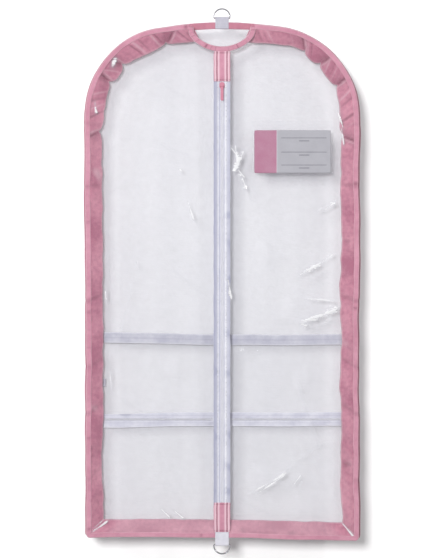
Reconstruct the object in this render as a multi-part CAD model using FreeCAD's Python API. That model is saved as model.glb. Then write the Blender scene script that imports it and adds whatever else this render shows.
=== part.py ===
"""Clear zip-front garment bag with a folded gusset, bound seams, hanging rings and inner pockets.

Millimetres. The bag hangs: X runs across it, -Y is its front, +Z is up. The origin is the middle of
the top ring's straight bar, where the top webbing carries the bag. The back panel lies in the plane
y = 0 and the front panel in the plane y = -BAG_DEPTH. The bag folds in half about FOLD_Z, so every
strip and panel that crosses that line is two solids, which meet there with FOLD_GAP between them.
"""

import FreeCAD, Part

import math
import os

V = FreeCAD.Vector

# Overall bag
BAG_WIDTH = 516.0
BAG_HEIGHT = 962.0
BAG_DEPTH = 24.0
TOP_ARC_RADIUS = 690.0
SHOULDER_RADIUS = 168.0
CORNER_RADIUS = 8.0

# Sheet and tape thicknesses
PANEL_T = 0.4
FABRIC_T = 0.5
BINDING_T = 0.6
TAPE_T = 0.6
PATCH_T = 0.8
WEBBING_T = 1.0

# Bindings and gusset
BACK_BINDING_WIDTH = 12.5
FRONT_BINDING_WIDTH = 11.0
FRONT_INSET = 4.5
FRONT_BOTTOM_INSET = 1.0
GUSSET_FOLD_INSET = 36.0
GUSSET_LEAF_T = 1.2

# Neck opening in the front, where a hanger's hook comes out
NECK_HALF_WIDTH = 53.0
NECK_DEPTH = 36.0
NECK_CORNER_RADIUS = 26.0
NECK_BINDING_WIDTH = 9.3

# Rings and the webbing that holds them
STRAP_WIDTH = 25.4
STRAP_CLEARANCE = 0.25
RING_WIRE = 3.0
RING_SIDE_CLEARANCE = 0.8
BAR_END_CLEARANCE = 0.1
RING_LEG_STRAIGHT = 0.3
TOP_RING_STANDOFF = 7.5
BOTTOM_RING_STANDOFF = 11.0

# Front zipper
ZIPPER_WIDTH = 31.0
ZIPPER_SLOT = 14.0
CHAIN_GAP = 0.8
COIL_WIDTH = 2.8
COIL_T = 1.4
TAB_WIDTH = 30.8
TOP_TAB_LENGTH = 56.0
BOTTOM_TAB_LENGTH = 54.5
TAB_CLEARANCE = 0.8

# Sliders and pulls
RUN_CLEARANCE = 0.3
SLIDER_LENGTH = 12.0
SLIDER_PLATE_T = 1.2
SLIDER_FLANGE_T = 1.2
SLIDER_POST_T = 0.5
SLIDER_DROP = 1.5
SLIDER_ROUNDING = 0.8
POST_START = 0.1
PIN_PLACE = 0.62
LUG_T = 1.0
PIN_RADIUS = 0.8
PIN_CLEARANCE = 0.1
EYE_WALL = 0.8
EYE_LIFT = 2.0
PULL_WIDTH = 5.4
PULL_LENGTH = 27.0
PULL_T = 1.4
PULL_SIDE_CLEARANCE = 0.3
PULL_ROUNDING = 0.3

# Fold in half
FOLD_GAP = 0.4

# Identity card and its window on the front
CARD_WIDTH = 142.0
CARD_HEIGHT = 79.5
CARD_T = 0.4
CARD_TOP_BELOW_EDGE = 204.5
CARD_CLEARANCE = 0.25
WINDOW_T = 0.4
WINDOW_EDGE_GAP = 36.5
WINDOW_SIDE = 4.0
WINDOW_RIM = 1.5
WINDOW_BASE = 5.0
WINDOW_ABOVE_CARD = 17.5

# Inner pockets on the back
POCKET_ROOM = 5.8
POCKET_TOP_ABOVE_BOTTOM = 377.5
POCKET_HEM_HEIGHT = 19.5
POCKET_ZIP_ABOVE_BOTTOM = 219.6
POCKET_SIDE_CLEARANCE = 2.8
POCKET_ZIP_WIDTH = 26.0
POCKET_BOTTOM_CLEARANCE = 3.0
POCKET_DIVIDER_WIDTH = 10.0
POCKET_COIL_WIDTH = 2.2
POCKET_COIL_T = 1.2
POCKET_SLIDER_LENGTH = 8.0
POCKET_SLIDER_PLATE_T = 0.9
POCKET_SLIDER_NOSE_X = 2.5
POCKET_PULL_WIDTH = 4.0
POCKET_PULL_LENGTH = 10.0
POCKET_PULL_T = 1.0
POCKET_EYE_LIFT = 1.7
LABEL_WIDTH = 8.8
LABEL_HEIGHT = 14.5
LABEL_T = 0.3
LABEL_INSET = 32.0
LABEL_BELOW_HEM = 62.5

# Levels that follow from the sizes above
RING_INNER_WIDTH = STRAP_WIDTH + 2 * RING_SIDE_CLEARANCE
RING_CORNER = RING_SIDE_CLEARANCE + RING_WIRE / 2 - BAR_END_CLEARANCE
RING_LEG = RING_CORNER + RING_LEG_STRAIGHT
WINDOW_RIGHT_X = BAG_WIDTH / 2 - FRONT_INSET - FRONT_BINDING_WIDTH - WINDOW_EDGE_GAP
CARD_LEFT_X = WINDOW_RIGHT_X - WINDOW_SIDE - CARD_WIDTH
BACK_Y = 0.0
FRONT_Y = -BAG_DEPTH
MID_Y = (FRONT_Y + BACK_Y) / 2
TOP_BAR_Z = 0.0
TOP_Z = TOP_BAR_Z - TOP_RING_STANDOFF
BOTTOM_Z = TOP_Z - BAG_HEIGHT
BOTTOM_BAR_Z = BOTTOM_Z - BOTTOM_RING_STANDOFF
FOLD_Z = (TOP_BAR_Z + BOTTOM_BAR_Z) / 2
HALF_PANEL = PANEL_T / 2
FRONT_FACE = FRONT_Y - HALF_PANEL
FRONT_INNER = FRONT_Y + HALF_PANEL
BACK_FACE = BACK_Y + HALF_PANEL
BACK_INNER = BACK_Y - HALF_PANEL
NECK_TOP_Z = TOP_Z - BACK_BINDING_WIDTH
NECK_LOW_Z = NECK_TOP_Z - NECK_DEPTH
TAPE_BACK = FRONT_INNER + TAPE_T
LEAF_SLOPE = (GUSSET_FOLD_INSET - FRONT_BOTTOM_INSET - FRONT_BINDING_WIDTH) / (MID_Y - FRONT_INNER)
BACK_LEAF_SLOPE = (GUSSET_FOLD_INSET - BACK_BINDING_WIDTH) / (BACK_INNER - MID_Y)
TOP_TAB_TOP = NECK_LOW_Z - NECK_BINDING_WIDTH
TOP_TAB_LOW = TOP_TAB_TOP - TOP_TAB_LENGTH
BOTTOM_TAB_LOW = BOTTOM_Z + FRONT_BOTTOM_INSET + FRONT_BINDING_WIDTH
BOTTOM_TAB_TOP = BOTTOM_TAB_LOW + BOTTOM_TAB_LENGTH
TAPE_LOW = BOTTOM_TAB_LOW + TAPE_T * LEAF_SLOPE + GUSSET_LEAF_T + TAB_CLEARANCE
BACK_PATCH_LOW = TAPE_LOW + PATCH_T * LEAF_SLOPE
POCKET_FRONT = BACK_INNER - POCKET_ROOM - PANEL_T
POCKET_SHEET_BACK = BACK_INNER - POCKET_ROOM
POCKET_DEPTH = POCKET_ROOM + PANEL_T + BINDING_T
BACK_LEAF_REACH = BACK_BINDING_WIDTH + GUSSET_LEAF_T + POCKET_DEPTH * BACK_LEAF_SLOPE
POCKET_HALF_WIDTH = BAG_WIDTH / 2 - BACK_LEAF_REACH - POCKET_SIDE_CLEARANCE
POCKET_TOP_Z = BOTTOM_Z + POCKET_TOP_ABOVE_BOTTOM
POCKET_ZIP_Z = BOTTOM_Z + POCKET_ZIP_ABOVE_BOTTOM
POCKET_ZIP_TOP = POCKET_ZIP_Z + POCKET_ZIP_WIDTH / 2
POCKET_ZIP_LOW = POCKET_ZIP_Z - POCKET_ZIP_WIDTH / 2
POCKET_LOW_Z = BOTTOM_Z + GUSSET_FOLD_INSET + GUSSET_LEAF_T + POCKET_BOTTOM_CLEARANCE
POCKET_TAPE_BACK = POCKET_FRONT + TAPE_T
SLIDER_TOP = TOP_TAB_LOW - SLIDER_DROP
FAR = 2 * (BAG_WIDTH + BAG_HEIGHT)


def box(x0, x1, y0, y1, z0, z1):
    """Block between two corners."""
    return Part.makeBox(x1 - x0, y1 - y0, z1 - z0, V(x0, y0, z0))


def prism(wire, y0, y1):
    """Closed wire drawn at y = 0, given a thickness from y0 to y1."""
    face = Part.Face(wire)
    face.translate(V(0, y0, 0))
    return face.extrude(V(0, y1 - y0, 0))


def above_fold():
    """Everything over the fold line."""
    return box(-FAR, FAR, -FAR, FAR, FOLD_Z + FOLD_GAP / 2, FAR)


def below_fold():
    """Everything under the fold line."""
    return box(-FAR, FAR, -FAR, FAR, -FAR, FOLD_Z - FOLD_GAP / 2)


def on_side(sign, start=0.0):
    """Everything further than start from the middle, on the right (+1) or the left (-1)."""
    if sign > 0:
        return box(start, FAR, -FAR, FAR, -FAR, FAR)
    return box(-FAR, -start, -FAR, FAR, -FAR, FAR)


def arc_between(centre, radius, start, middle, end):
    """Arc about a centre in the XZ plane through three directions, in radians from +X."""
    points = []
    for angle in (start, middle, end):
        points.append(V(centre[0] + radius * math.cos(angle), 0, centre[1] + radius * math.sin(angle)))
    return Part.Arc(*points).toShape()


def joined(edges):
    """Edges in running order, with a straight line wherever one ends away from the next."""
    closed = []
    for here, after in zip(edges, edges[1:] + edges[:1]):
        closed.append(here)
        gap_start = here.valueAt(here.LastParameter)
        gap_end = after.valueAt(after.FirstParameter)
        if gap_start.distanceToPoint(gap_end) > 1e-6:
            closed.append(Part.makeLine(gap_start, gap_end))
    return Part.Wire(closed)


def bag_outline(inset, bottom_inset=None):
    """The bag's outline moved inwards: shallow top arc, round shoulders, straight sides, flat bottom."""
    low = BOTTOM_Z + (inset if bottom_inset is None else bottom_inset)
    half = BAG_WIDTH / 2 - inset
    shoulder_x = BAG_WIDTH / 2 - SHOULDER_RADIUS
    reach = TOP_ARC_RADIUS - SHOULDER_RADIUS
    top_centre = (0.0, TOP_Z - TOP_ARC_RADIUS)
    shoulder_z = top_centre[1] + math.sqrt(reach**2 - shoulder_x**2)
    join = math.atan2(shoulder_z - top_centre[1], shoulder_x)
    shoulder = SHOULDER_RADIUS - inset
    edges = [
        arc_between((shoulder_x, shoulder_z), shoulder, 0.0, join / 2, join),
        arc_between(top_centre, TOP_ARC_RADIUS - inset, join, math.pi / 2, math.pi - join),
        arc_between((-shoulder_x, shoulder_z), shoulder, math.pi - join, math.pi - join / 2, math.pi),
    ]
    corner = CORNER_RADIUS - inset
    if corner > 0:
        for sign, turn in ((-1, math.pi), (1, 1.5 * math.pi)):
            centre = (sign * (half - corner), low + corner)
            edges.append(arc_between(centre, corner, turn, turn + math.pi / 4, turn + math.pi / 2))
    else:
        edges.append(Part.makeLine(V(-half, 0, low), V(half, 0, low)))
    return joined(edges)


def neck_outline(grow):
    """Outline of the neck opening moved outwards: upright sides above a three-centred arch turned down."""
    corner = NECK_CORNER_RADIUS
    across = NECK_HALF_WIDTH - corner
    sweep = (across**2 + NECK_DEPTH**2 - corner**2) / (2 * (NECK_DEPTH - corner))
    centre = (0.0, NECK_LOW_Z + sweep)
    join = math.atan2(centre[1] - NECK_TOP_Z, across)
    low = -math.pi / 2
    top = TOP_Z + BAG_WIDTH
    half = NECK_HALF_WIDTH + grow
    edges = [
        arc_between((-across, NECK_TOP_Z), corner + grow, -math.pi, join / 2 - math.pi, join - math.pi),
        arc_between(centre, sweep + grow, join - math.pi, low, -join),
        arc_between((across, NECK_TOP_Z), corner + grow, -join, -join / 2, 0.0),
        Part.makeLine(V(half, 0, top), V(-half, 0, top)),
    ]
    return joined(edges)


def neck_cut(grow=0.0):
    """The space of the neck opening, through the bag's whole depth."""
    return prism(neck_outline(grow), -FAR, FAR)


def edge_binding(inset, bottom_inset, width, slot_from, slot_to):
    """Folded tape round the bag's outline: two flanges and the wall that joins them round the edge."""
    outer = bag_outline(inset, bottom_inset)
    inner = bag_outline(inset + width, bottom_inset + width)
    slot = bag_outline(inset + BINDING_T, bottom_inset + BINDING_T)
    ring = prism(outer, slot_from - BINDING_T, slot_to + BINDING_T)
    ring = ring.cut(prism(inner, -FAR, FAR))
    return ring.cut(prism(slot, slot_from, slot_to))


def back_panel():
    """Whole clear back, its edge inside the back binding."""
    return prism(bag_outline(BINDING_T), BACK_INNER, BACK_FACE)


def back_binding():
    """Tape round the whole back panel, which also bridges the neck opening."""
    return edge_binding(0.0, 0.0, BACK_BINDING_WIDTH, BACK_INNER - FABRIC_T, BACK_FACE)


def front_panel(sign):
    """One clear half of the front, from the zipper slot to its binding, less the neck opening."""
    outline = bag_outline(FRONT_INSET + BINDING_T, FRONT_BOTTOM_INSET + BINDING_T)
    sheet = prism(outline, FRONT_FACE, FRONT_INNER)
    return sheet.cut(neck_cut(BINDING_T)).common(on_side(sign, ZIPPER_SLOT / 2))


def front_binding():
    """Tape round the front panel, from one side of the neck opening to the other."""
    tape = edge_binding(
        FRONT_INSET, FRONT_BOTTOM_INSET, FRONT_BINDING_WIDTH, FRONT_FACE, FRONT_INNER + FABRIC_T
    )
    return tape.cut(neck_cut())


def neck_binding():
    """Tape round the neck opening, between the two ends of the front binding."""
    inside = prism(
        bag_outline(FRONT_INSET + FRONT_BINDING_WIDTH, FRONT_BOTTOM_INSET + FRONT_BINDING_WIDTH), -FAR, FAR
    )
    band = prism(neck_outline(NECK_BINDING_WIDTH), FRONT_FACE - BINDING_T, TAPE_BACK + BINDING_T)
    band = band.cut(neck_cut())
    slot = box(-FAR, FAR, FRONT_FACE, TAPE_BACK, -FAR, FAR).cut(neck_cut(BINDING_T))
    return band.cut(slot).common(inside)


def leaf(outer, outer_y, inner_y):
    """One sloping half of the gusset, from the binding's inner edge to the inward fold."""
    shells = []
    for extra in (0.0, GUSSET_LEAF_T):
        start = bag_outline(outer[0] + extra, outer[1] + extra)
        start.translate(V(0, outer_y, 0))
        end = bag_outline(GUSSET_FOLD_INSET + extra)
        end.translate(V(0, inner_y, 0))
        shells.append(Part.makeLoft([start, end], True, True))
    return shells[0].cut(shells[1])


def gusset():
    """Whole side strip, folded inwards between the front and back seams, less the neck opening."""
    front_start = (FRONT_INSET + FRONT_BINDING_WIDTH, FRONT_BOTTOM_INSET + FRONT_BINDING_WIDTH)
    back_start = (BACK_BINDING_WIDTH, BACK_BINDING_WIDTH)
    pieces = [
        leaf(front_start, FRONT_INNER, MID_Y),
        leaf(back_start, BACK_INNER, MID_Y),
    ]
    for edge, start, y0, y1 in (
        ((FRONT_INSET, FRONT_BOTTOM_INSET), front_start, FRONT_INNER, FRONT_INNER + FABRIC_T),
        ((0.0, 0.0), back_start, BACK_INNER - FABRIC_T, BACK_INNER),
    ):
        outer = bag_outline(edge[0] + BINDING_T, edge[1] + BINDING_T)
        inner = bag_outline(start[0] + GUSSET_LEAF_T, start[1] + GUSSET_LEAF_T)
        pieces.append(prism(outer, y0, y1).cut(prism(inner, -FAR, FAR)))
    whole = pieces[0].multiFuse(pieces[1:])
    return whole.cut(neck_cut(NECK_BINDING_WIDTH)).removeSplitter()


def bottom_wedge():
    """The region between the mitres of the two bottom corners."""
    rise = BAG_WIDTH / 4
    half = BAG_WIDTH / 2
    points = [
        V(-half - rise, 0, BOTTOM_Z - rise),
        V(half + rise, 0, BOTTOM_Z - rise),
        V(half - rise, 0, BOTTOM_Z + rise),
        V(-half + rise, 0, BOTTOM_Z + rise),
    ]
    return prism(Part.makePolygon(points + points[:1]), -FAR, FAR)


def front_tape(sign):
    """One white tape of the front zipper, behind the clear panels."""
    tape = box(CHAIN_GAP / 2, ZIPPER_WIDTH / 2, FRONT_INNER, TAPE_BACK, TAPE_LOW, TOP_TAB_TOP)
    return tape if sign > 0 else tape.mirror(V(), V(1, 0, 0))


def front_coil(sign):
    """One side of the closed chain, in front of its tape, between the two tabs."""
    inner = CHAIN_GAP / 2
    coil = box(inner, inner + COIL_WIDTH, FRONT_INNER - COIL_T, FRONT_INNER, BOTTOM_TAB_TOP, TOP_TAB_LOW)
    return coil if sign > 0 else coil.mirror(V(), V(1, 0, 0))


def zipper_tab(low, top, back_low):
    """Fabric patches in front of the zipper's end and behind it."""
    half = TAB_WIDTH / 2
    front = box(-half, half, FRONT_FACE - PATCH_T, FRONT_FACE, low, top)
    back = box(-half, half, TAPE_BACK, TAPE_BACK + PATCH_T, back_low, top)
    return Part.Compound([front, back])


def d_ring(bar_z, ring_y, sign):
    """Wire ring with a straight bar on the X axis and a round crown, up (+1) or down (-1)."""
    wire = RING_WIRE / 2
    half = RING_INNER_WIDTH / 2 + wire
    quarter = math.pi / 2
    across = half - RING_CORNER
    path = joined(
        [
            arc_between((across, RING_CORNER), RING_CORNER, -quarter, -quarter / 2, 0.0),
            arc_between((0, RING_LEG), half, 0.0, quarter, 2 * quarter),
            arc_between((-across, RING_CORNER), RING_CORNER, 2 * quarter, 2.5 * quarter, 3 * quarter),
        ]
    )
    start = path.Edges[0].valueAt(path.Edges[0].FirstParameter)
    section = Part.Wire(Part.makeCircle(wire, start, V(1, 0, 0)))
    ring = path.makePipeShell([section], True, True)
    if sign < 0:
        ring = ring.mirror(V(), V(0, 0, 1))
    ring.translate(V(0, ring_y, bar_z))
    return ring


def ring_strap(bar_z, ring_y, edge_z, end_z, front_face, back_face):
    """Webbing folded over a ring's bar, with one layer on each face of the seam that it is sewn to."""
    inner = RING_WIRE / 2 + STRAP_CLEARANCE
    outer = inner + WEBBING_T
    up = 1 if bar_z > edge_z else -1
    crown_in = Part.Arc(V(0, inner, 0), V(0, 0, up * inner), V(0, -inner, 0)).toShape()
    crown_out = Part.Arc(V(0, -outer, 0), V(0, 0, up * outer), V(0, outer, 0)).toShape()
    for crown in (crown_in, crown_out):
        crown.translate(V(0, ring_y, bar_z))
    front_layer = [
        V(0, ring_y - inner, bar_z),
        V(0, front_face, edge_z),
        V(0, front_face, end_z),
        V(0, front_face - WEBBING_T, end_z),
        V(0, front_face - WEBBING_T, edge_z),
        V(0, ring_y - outer, bar_z),
    ]
    back_layer = [
        V(0, ring_y + outer, bar_z),
        V(0, back_face + WEBBING_T, edge_z),
        V(0, back_face + WEBBING_T, end_z),
        V(0, back_face, end_z),
        V(0, back_face, edge_z),
        V(0, ring_y + inner, bar_z),
    ]
    edges = [crown_in]
    edges += [Part.makeLine(a, b) for a, b in zip(front_layer, front_layer[1:])]
    edges.append(crown_out)
    edges += [Part.makeLine(a, b) for a, b in zip(back_layer, back_layer[1:])]
    face = Part.Face(Part.Wire(edges))
    face.translate(V(-STRAP_WIDTH / 2, 0, 0))
    return face.extrude(V(STRAP_WIDTH, 0, 0))


def slider(length, half_width, chain_front, tape_front, tape_back, plate, lift, pull_width):
    """Zipper slider, drawn running along Z with its nose at z = 0 and the chain's middle at x = 0.

    Two plates joined by a thin post, which passes between the two sides of the chain, flanges
    beside the chain, and a pin between two lugs for the pull.
    """
    front = chain_front - RUN_CLEARANCE
    back = tape_back + RUN_CLEARANCE
    outer = half_width + RUN_CLEARANCE + SLIDER_FLANGE_T
    corner = min(outer, length / 2) * SLIDER_ROUNDING
    face = box(-outer, outer, front - plate, front, -length, 0)
    upright = [e for e in face.Edges if abs(e.BoundBox.YLength - plate) < 1e-6]
    face = face.makeFillet(corner, upright)
    pieces = [face, box(-outer, outer, back, back + plate, -length, 0)]
    for sign in (-1, 1):
        x0, x1 = sorted((sign * (half_width + RUN_CLEARANCE), sign * outer))
        pieces.append(box(x0, x1, front, tape_front - RUN_CLEARANCE, corner - length, -corner))
    half_post = SLIDER_POST_T / 2
    pieces.append(box(-half_post, half_post, front, back, -corner, -POST_START * length))
    pin_y = front - plate - lift
    pin_z = -PIN_PLACE * length
    lug_in = pull_width / 2 + PULL_SIDE_CLEARANCE
    lug_reach = PIN_RADIUS + EYE_WALL / 2
    for sign in (-1, 1):
        x0, x1 = sorted((sign * lug_in, sign * (lug_in + LUG_T)))
        lug = box(x0, x1, pin_y, front - plate / 2, pin_z - lug_reach, pin_z + lug_reach)
        cap = Part.makeCylinder(lug_reach, LUG_T, V(x0, pin_y, pin_z), V(1, 0, 0))
        pieces += [lug, cap]
    span = 2 * lug_in + LUG_T
    pieces.append(Part.makeCylinder(PIN_RADIUS, span, V(-span / 2, pin_y, pin_z), V(1, 0, 0)))
    whole = pieces[0].multiFuse(pieces[1:]).removeSplitter()
    return whole, V(0, pin_y, pin_z)


def pull(pin, width, length, thickness):
    """Pull tab that hangs from the slider's pin, drawn with the slider."""
    eye = PIN_RADIUS + PIN_CLEARANCE + EYE_WALL
    barrel = Part.makeCylinder(eye, width, pin - V(width / 2, 0, 0), V(1, 0, 0))
    blade = box(
        pin.x - width / 2,
        pin.x + width / 2,
        pin.y - thickness / 2,
        pin.y + thickness / 2,
        pin.z - length,
        pin.z,
    )
    along_y = [e for e in blade.Edges if abs(e.BoundBox.YLength - thickness) < 1e-6]
    ends = [e for e in along_y if e.BoundBox.ZMax < pin.z - length / 2]
    blade = blade.makeFillet(width * PULL_ROUNDING, ends)
    hole = Part.makeCylinder(PIN_RADIUS + PIN_CLEARANCE, 2 * width, pin - V(width, 0, 0), V(1, 0, 0))
    return barrel.fuse(blade).cut(hole).removeSplitter()


def front_slider_and_pull():
    """The front zipper's slider at the top of its chain, and its pull."""
    body, pin = slider(
        SLIDER_LENGTH,
        CHAIN_GAP / 2 + COIL_WIDTH,
        FRONT_INNER - COIL_T,
        FRONT_INNER,
        TAPE_BACK,
        SLIDER_PLATE_T,
        EYE_LIFT,
        PULL_WIDTH,
    )
    tab = pull(pin, PULL_WIDTH, PULL_LENGTH, PULL_T)
    for shape in (body, tab):
        shape.translate(V(0, 0, SLIDER_TOP))
    return body, tab


def pocket_slider_and_pull(sign):
    """A pocket's slider, shut against the middle seam on the right (+1) or left (-1), and its pull."""
    body, pin = slider(
        POCKET_SLIDER_LENGTH,
        CHAIN_GAP / 2 + POCKET_COIL_WIDTH,
        POCKET_FRONT - POCKET_COIL_T,
        POCKET_FRONT,
        POCKET_TAPE_BACK,
        POCKET_SLIDER_PLATE_T,
        POCKET_EYE_LIFT,
        POCKET_PULL_WIDTH,
    )
    tab = pull(pin, POCKET_PULL_WIDTH, POCKET_PULL_LENGTH, POCKET_PULL_T)
    placed = []
    for shape in (body, tab):
        shape.rotate(V(), V(0, 1, 0), -90 * sign)
        shape.translate(V(sign * POCKET_SLIDER_NOSE_X, 0, POCKET_ZIP_Z))
        placed.append(shape)
    return placed


def id_window():
    """Clear pocket for the card on the right half of the front, closed at its sides and foot."""
    top = TOP_Z - CARD_TOP_BELOW_EDGE
    low = top - CARD_HEIGHT - CARD_CLEARANCE
    left = CARD_LEFT_X - WINDOW_SIDE
    right = WINDOW_RIGHT_X
    room = CARD_T + 2 * CARD_CLEARANCE
    inner = FRONT_FACE - room
    sheet = box(left, right, inner - WINDOW_T, inner, low - WINDOW_BASE, top + WINDOW_ABOVE_CARD)
    rims = [
        box(left, left + WINDOW_RIM, inner, FRONT_FACE, low - WINDOW_BASE, top + WINDOW_ABOVE_CARD),
        box(right - WINDOW_RIM, right, inner, FRONT_FACE, low - WINDOW_BASE, top + WINDOW_ABOVE_CARD),
        box(left, right, inner, FRONT_FACE, low - WINDOW_BASE, low),
    ]
    return sheet.multiFuse(rims).removeSplitter()


def id_card():
    """Printed card that stands in the window pocket."""
    top = TOP_Z - CARD_TOP_BELOW_EDGE
    back = FRONT_FACE - CARD_CLEARANCE
    return box(CARD_LEFT_X, CARD_LEFT_X + CARD_WIDTH, back - CARD_T, back, top - CARD_HEIGHT, top)


def pocket_tray(low, top, closed_low):
    """Clear pocket front that stands off the back panel, with its sides and its middle seam."""
    half = POCKET_HALF_WIDTH
    walls = [
        box(-half, -half + PANEL_T, POCKET_FRONT, BACK_INNER, low, top),
        box(half - PANEL_T, half, POCKET_FRONT, BACK_INNER, low, top),
        box(-PANEL_T / 2, PANEL_T / 2, POCKET_FRONT, BACK_INNER, low, top),
    ]
    if closed_low:
        walls.append(box(-half, half, POCKET_FRONT, BACK_INNER, low, low + PANEL_T))
    sheet = box(-half, half, POCKET_FRONT, POCKET_SHEET_BACK, low, top)
    return sheet.multiFuse(walls).removeSplitter()


def pocket_hem():
    """White tape folded over the upper pocket's open edge."""
    half = POCKET_HALF_WIDTH - PANEL_T
    low = POCKET_TOP_Z - POCKET_HEM_HEIGHT
    top = POCKET_TOP_Z + BINDING_T
    hem = box(-half, half, POCKET_FRONT - BINDING_T, POCKET_SHEET_BACK + BINDING_T, low, top)
    sheet = box(-half, half, POCKET_FRONT, POCKET_SHEET_BACK, low, POCKET_TOP_Z)
    seam = box(-PANEL_T / 2, PANEL_T / 2, POCKET_FRONT, BACK_INNER, low, POCKET_TOP_Z)
    return hem.cut(sheet).cut(seam)


def pocket_divider():
    """White tape over the middle seam of both pockets."""
    half = POCKET_DIVIDER_WIDTH / 2
    low_hem = POCKET_TOP_Z - POCKET_HEM_HEIGHT
    strips = []
    for low, top in ((POCKET_ZIP_TOP, low_hem), (POCKET_LOW_Z, POCKET_ZIP_LOW)):
        strips.append(box(-half, half, POCKET_FRONT - FABRIC_T, POCKET_FRONT, low, top))
    return Part.Compound(strips)


def pocket_tape(sign):
    """Upper (+1) or lower (-1) tape of the pocket zipper."""
    half = POCKET_HALF_WIDTH
    z0, z1 = sorted((POCKET_ZIP_Z + sign * CHAIN_GAP / 2, POCKET_ZIP_Z + sign * POCKET_ZIP_WIDTH / 2))
    return box(-half, half, POCKET_FRONT, POCKET_TAPE_BACK, z0, z1)


def pocket_coil(sign):
    """Upper (+1) or lower (-1) side of the pocket zipper's chain."""
    half = POCKET_HALF_WIDTH
    near = CHAIN_GAP / 2
    z0, z1 = sorted((POCKET_ZIP_Z + sign * near, POCKET_ZIP_Z + sign * (near + POCKET_COIL_WIDTH)))
    return box(-half, half, POCKET_FRONT - POCKET_COIL_T, POCKET_FRONT, z0, z1)


def care_label():
    """Small blank label on the left edge of the upper pocket, half hidden by the gusset's fold."""
    left = -BAG_WIDTH / 2 + LABEL_INSET
    top = POCKET_TOP_Z - POCKET_HEM_HEIGHT - LABEL_BELOW_HEM
    return box(left, left + LABEL_WIDTH, POCKET_FRONT - LABEL_T, POCKET_FRONT, top - LABEL_HEIGHT, top)


def upper_nodes():
    """Pieces above the fold line that hang from the top ring."""
    top = above_fold()
    binding = front_binding().common(top)
    side_strip = gusset().common(top)
    nodes = {
        "back_panel_upper": back_panel().common(top),
        "back_binding_upper": back_binding().common(top),
        "neck_binding": neck_binding(),
        "zipper_top_tab": zipper_tab(TOP_TAB_LOW, TOP_TAB_TOP, TOP_TAB_LOW),
        "top_strap": ring_strap(
            TOP_BAR_Z,
            BACK_Y,
            TOP_Z,
            NECK_TOP_Z,
            BACK_INNER - FABRIC_T - BINDING_T,
            BACK_FACE + BINDING_T,
        ),
        "id_window": id_window(),
    }
    for sign, side in ((-1, "left"), (1, "right")):
        nodes[f"front_panel_{side}_upper"] = front_panel(sign).common(top)
        nodes[f"front_binding_{side}_upper"] = binding.common(on_side(sign))
        nodes[f"gusset_{side}_upper"] = side_strip.common(on_side(sign))
        nodes[f"zipper_tape_{side}_upper"] = front_tape(sign).common(top)
        nodes[f"zipper_coil_{side}_upper"] = front_coil(sign).common(top)
    return nodes


def lower_nodes():
    """Pieces below the fold line, with the inner pockets."""
    low = below_fold()
    side_strip = gusset().common(low)
    wedge = bottom_wedge()
    nodes = {
        "back_panel_lower": back_panel().common(low),
        "back_binding_lower": back_binding().common(low),
        "front_binding_lower": front_binding().common(low),
        "gusset_bottom": side_strip.common(wedge),
        "zipper_bottom_tab": zipper_tab(BOTTOM_TAB_LOW, BOTTOM_TAB_TOP, BACK_PATCH_LOW),
        "bottom_strap": ring_strap(
            BOTTOM_BAR_Z,
            FRONT_Y,
            BOTTOM_Z + FRONT_BOTTOM_INSET,
            BOTTOM_TAB_LOW,
            FRONT_FACE - BINDING_T,
            FRONT_INNER + FABRIC_T + BINDING_T,
        ),
        "pocket_panel_upper": pocket_tray(POCKET_ZIP_TOP, POCKET_TOP_Z, True),
        "pocket_panel_lower": pocket_tray(POCKET_LOW_Z, POCKET_ZIP_LOW, True),
        "pocket_hem": pocket_hem(),
        "pocket_divider": pocket_divider(),
        "pocket_zipper_tape_upper": pocket_tape(1),
        "pocket_zipper_tape_lower": pocket_tape(-1),
        "pocket_zipper_coil_upper": pocket_coil(1),
        "pocket_zipper_coil_lower": pocket_coil(-1),
        "care_label": care_label(),
    }
    rest = side_strip.cut(wedge)
    for sign, side in ((-1, "left"), (1, "right")):
        nodes[f"front_panel_{side}_lower"] = front_panel(sign).common(low)
        nodes[f"gusset_{side}_lower"] = rest.common(on_side(sign))
        nodes[f"zipper_tape_{side}_lower"] = front_tape(sign).common(low)
        nodes[f"zipper_coil_{side}_lower"] = front_coil(sign).common(low)
    return nodes


def moving_nodes():
    """Rings, sliders, pulls and the card."""
    body, tab = front_slider_and_pull()
    nodes = {
        "top_ring": d_ring(TOP_BAR_Z, BACK_Y, 1),
        "bottom_ring": d_ring(BOTTOM_BAR_Z, FRONT_Y, -1),
        "zipper_slider": body,
        "zipper_pull": tab,
        "id_card": id_card(),
    }
    for sign, side in ((-1, "left"), (1, "right")):
        nodes[f"pocket_slider_{side}"], nodes[f"pocket_pull_{side}"] = pocket_slider_and_pull(sign)
    return nodes


def main():
    """Writes one STEP file for each node."""
    os.makedirs("parts", exist_ok=True)
    nodes = {**upper_nodes(), **lower_nodes(), **moving_nodes()}
    for name, shape in sorted(nodes.items()):
        solids = shape.Solids
        if not solids or not all(s.isValid() and s.Volume > 0 for s in solids):
            raise ValueError(f"{name} is not made of valid closed solids")
        whole = solids[0] if len(solids) == 1 else Part.Compound(solids)
        whole.exportStep(f"parts/{name}.step")
        size = whole.BoundBox
        print(f"{name}: {len(solids)} solid(s), {size.XLength:.1f} x {size.YLength:.1f} x {size.ZLength:.1f}")


main()
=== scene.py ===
"""A clear costume garment bag: film panels, pink nylon gusset and bindings, coil zippers, webbing rings."""
import logging
import math
from dataclasses import dataclass, field
from enum import Enum

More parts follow.
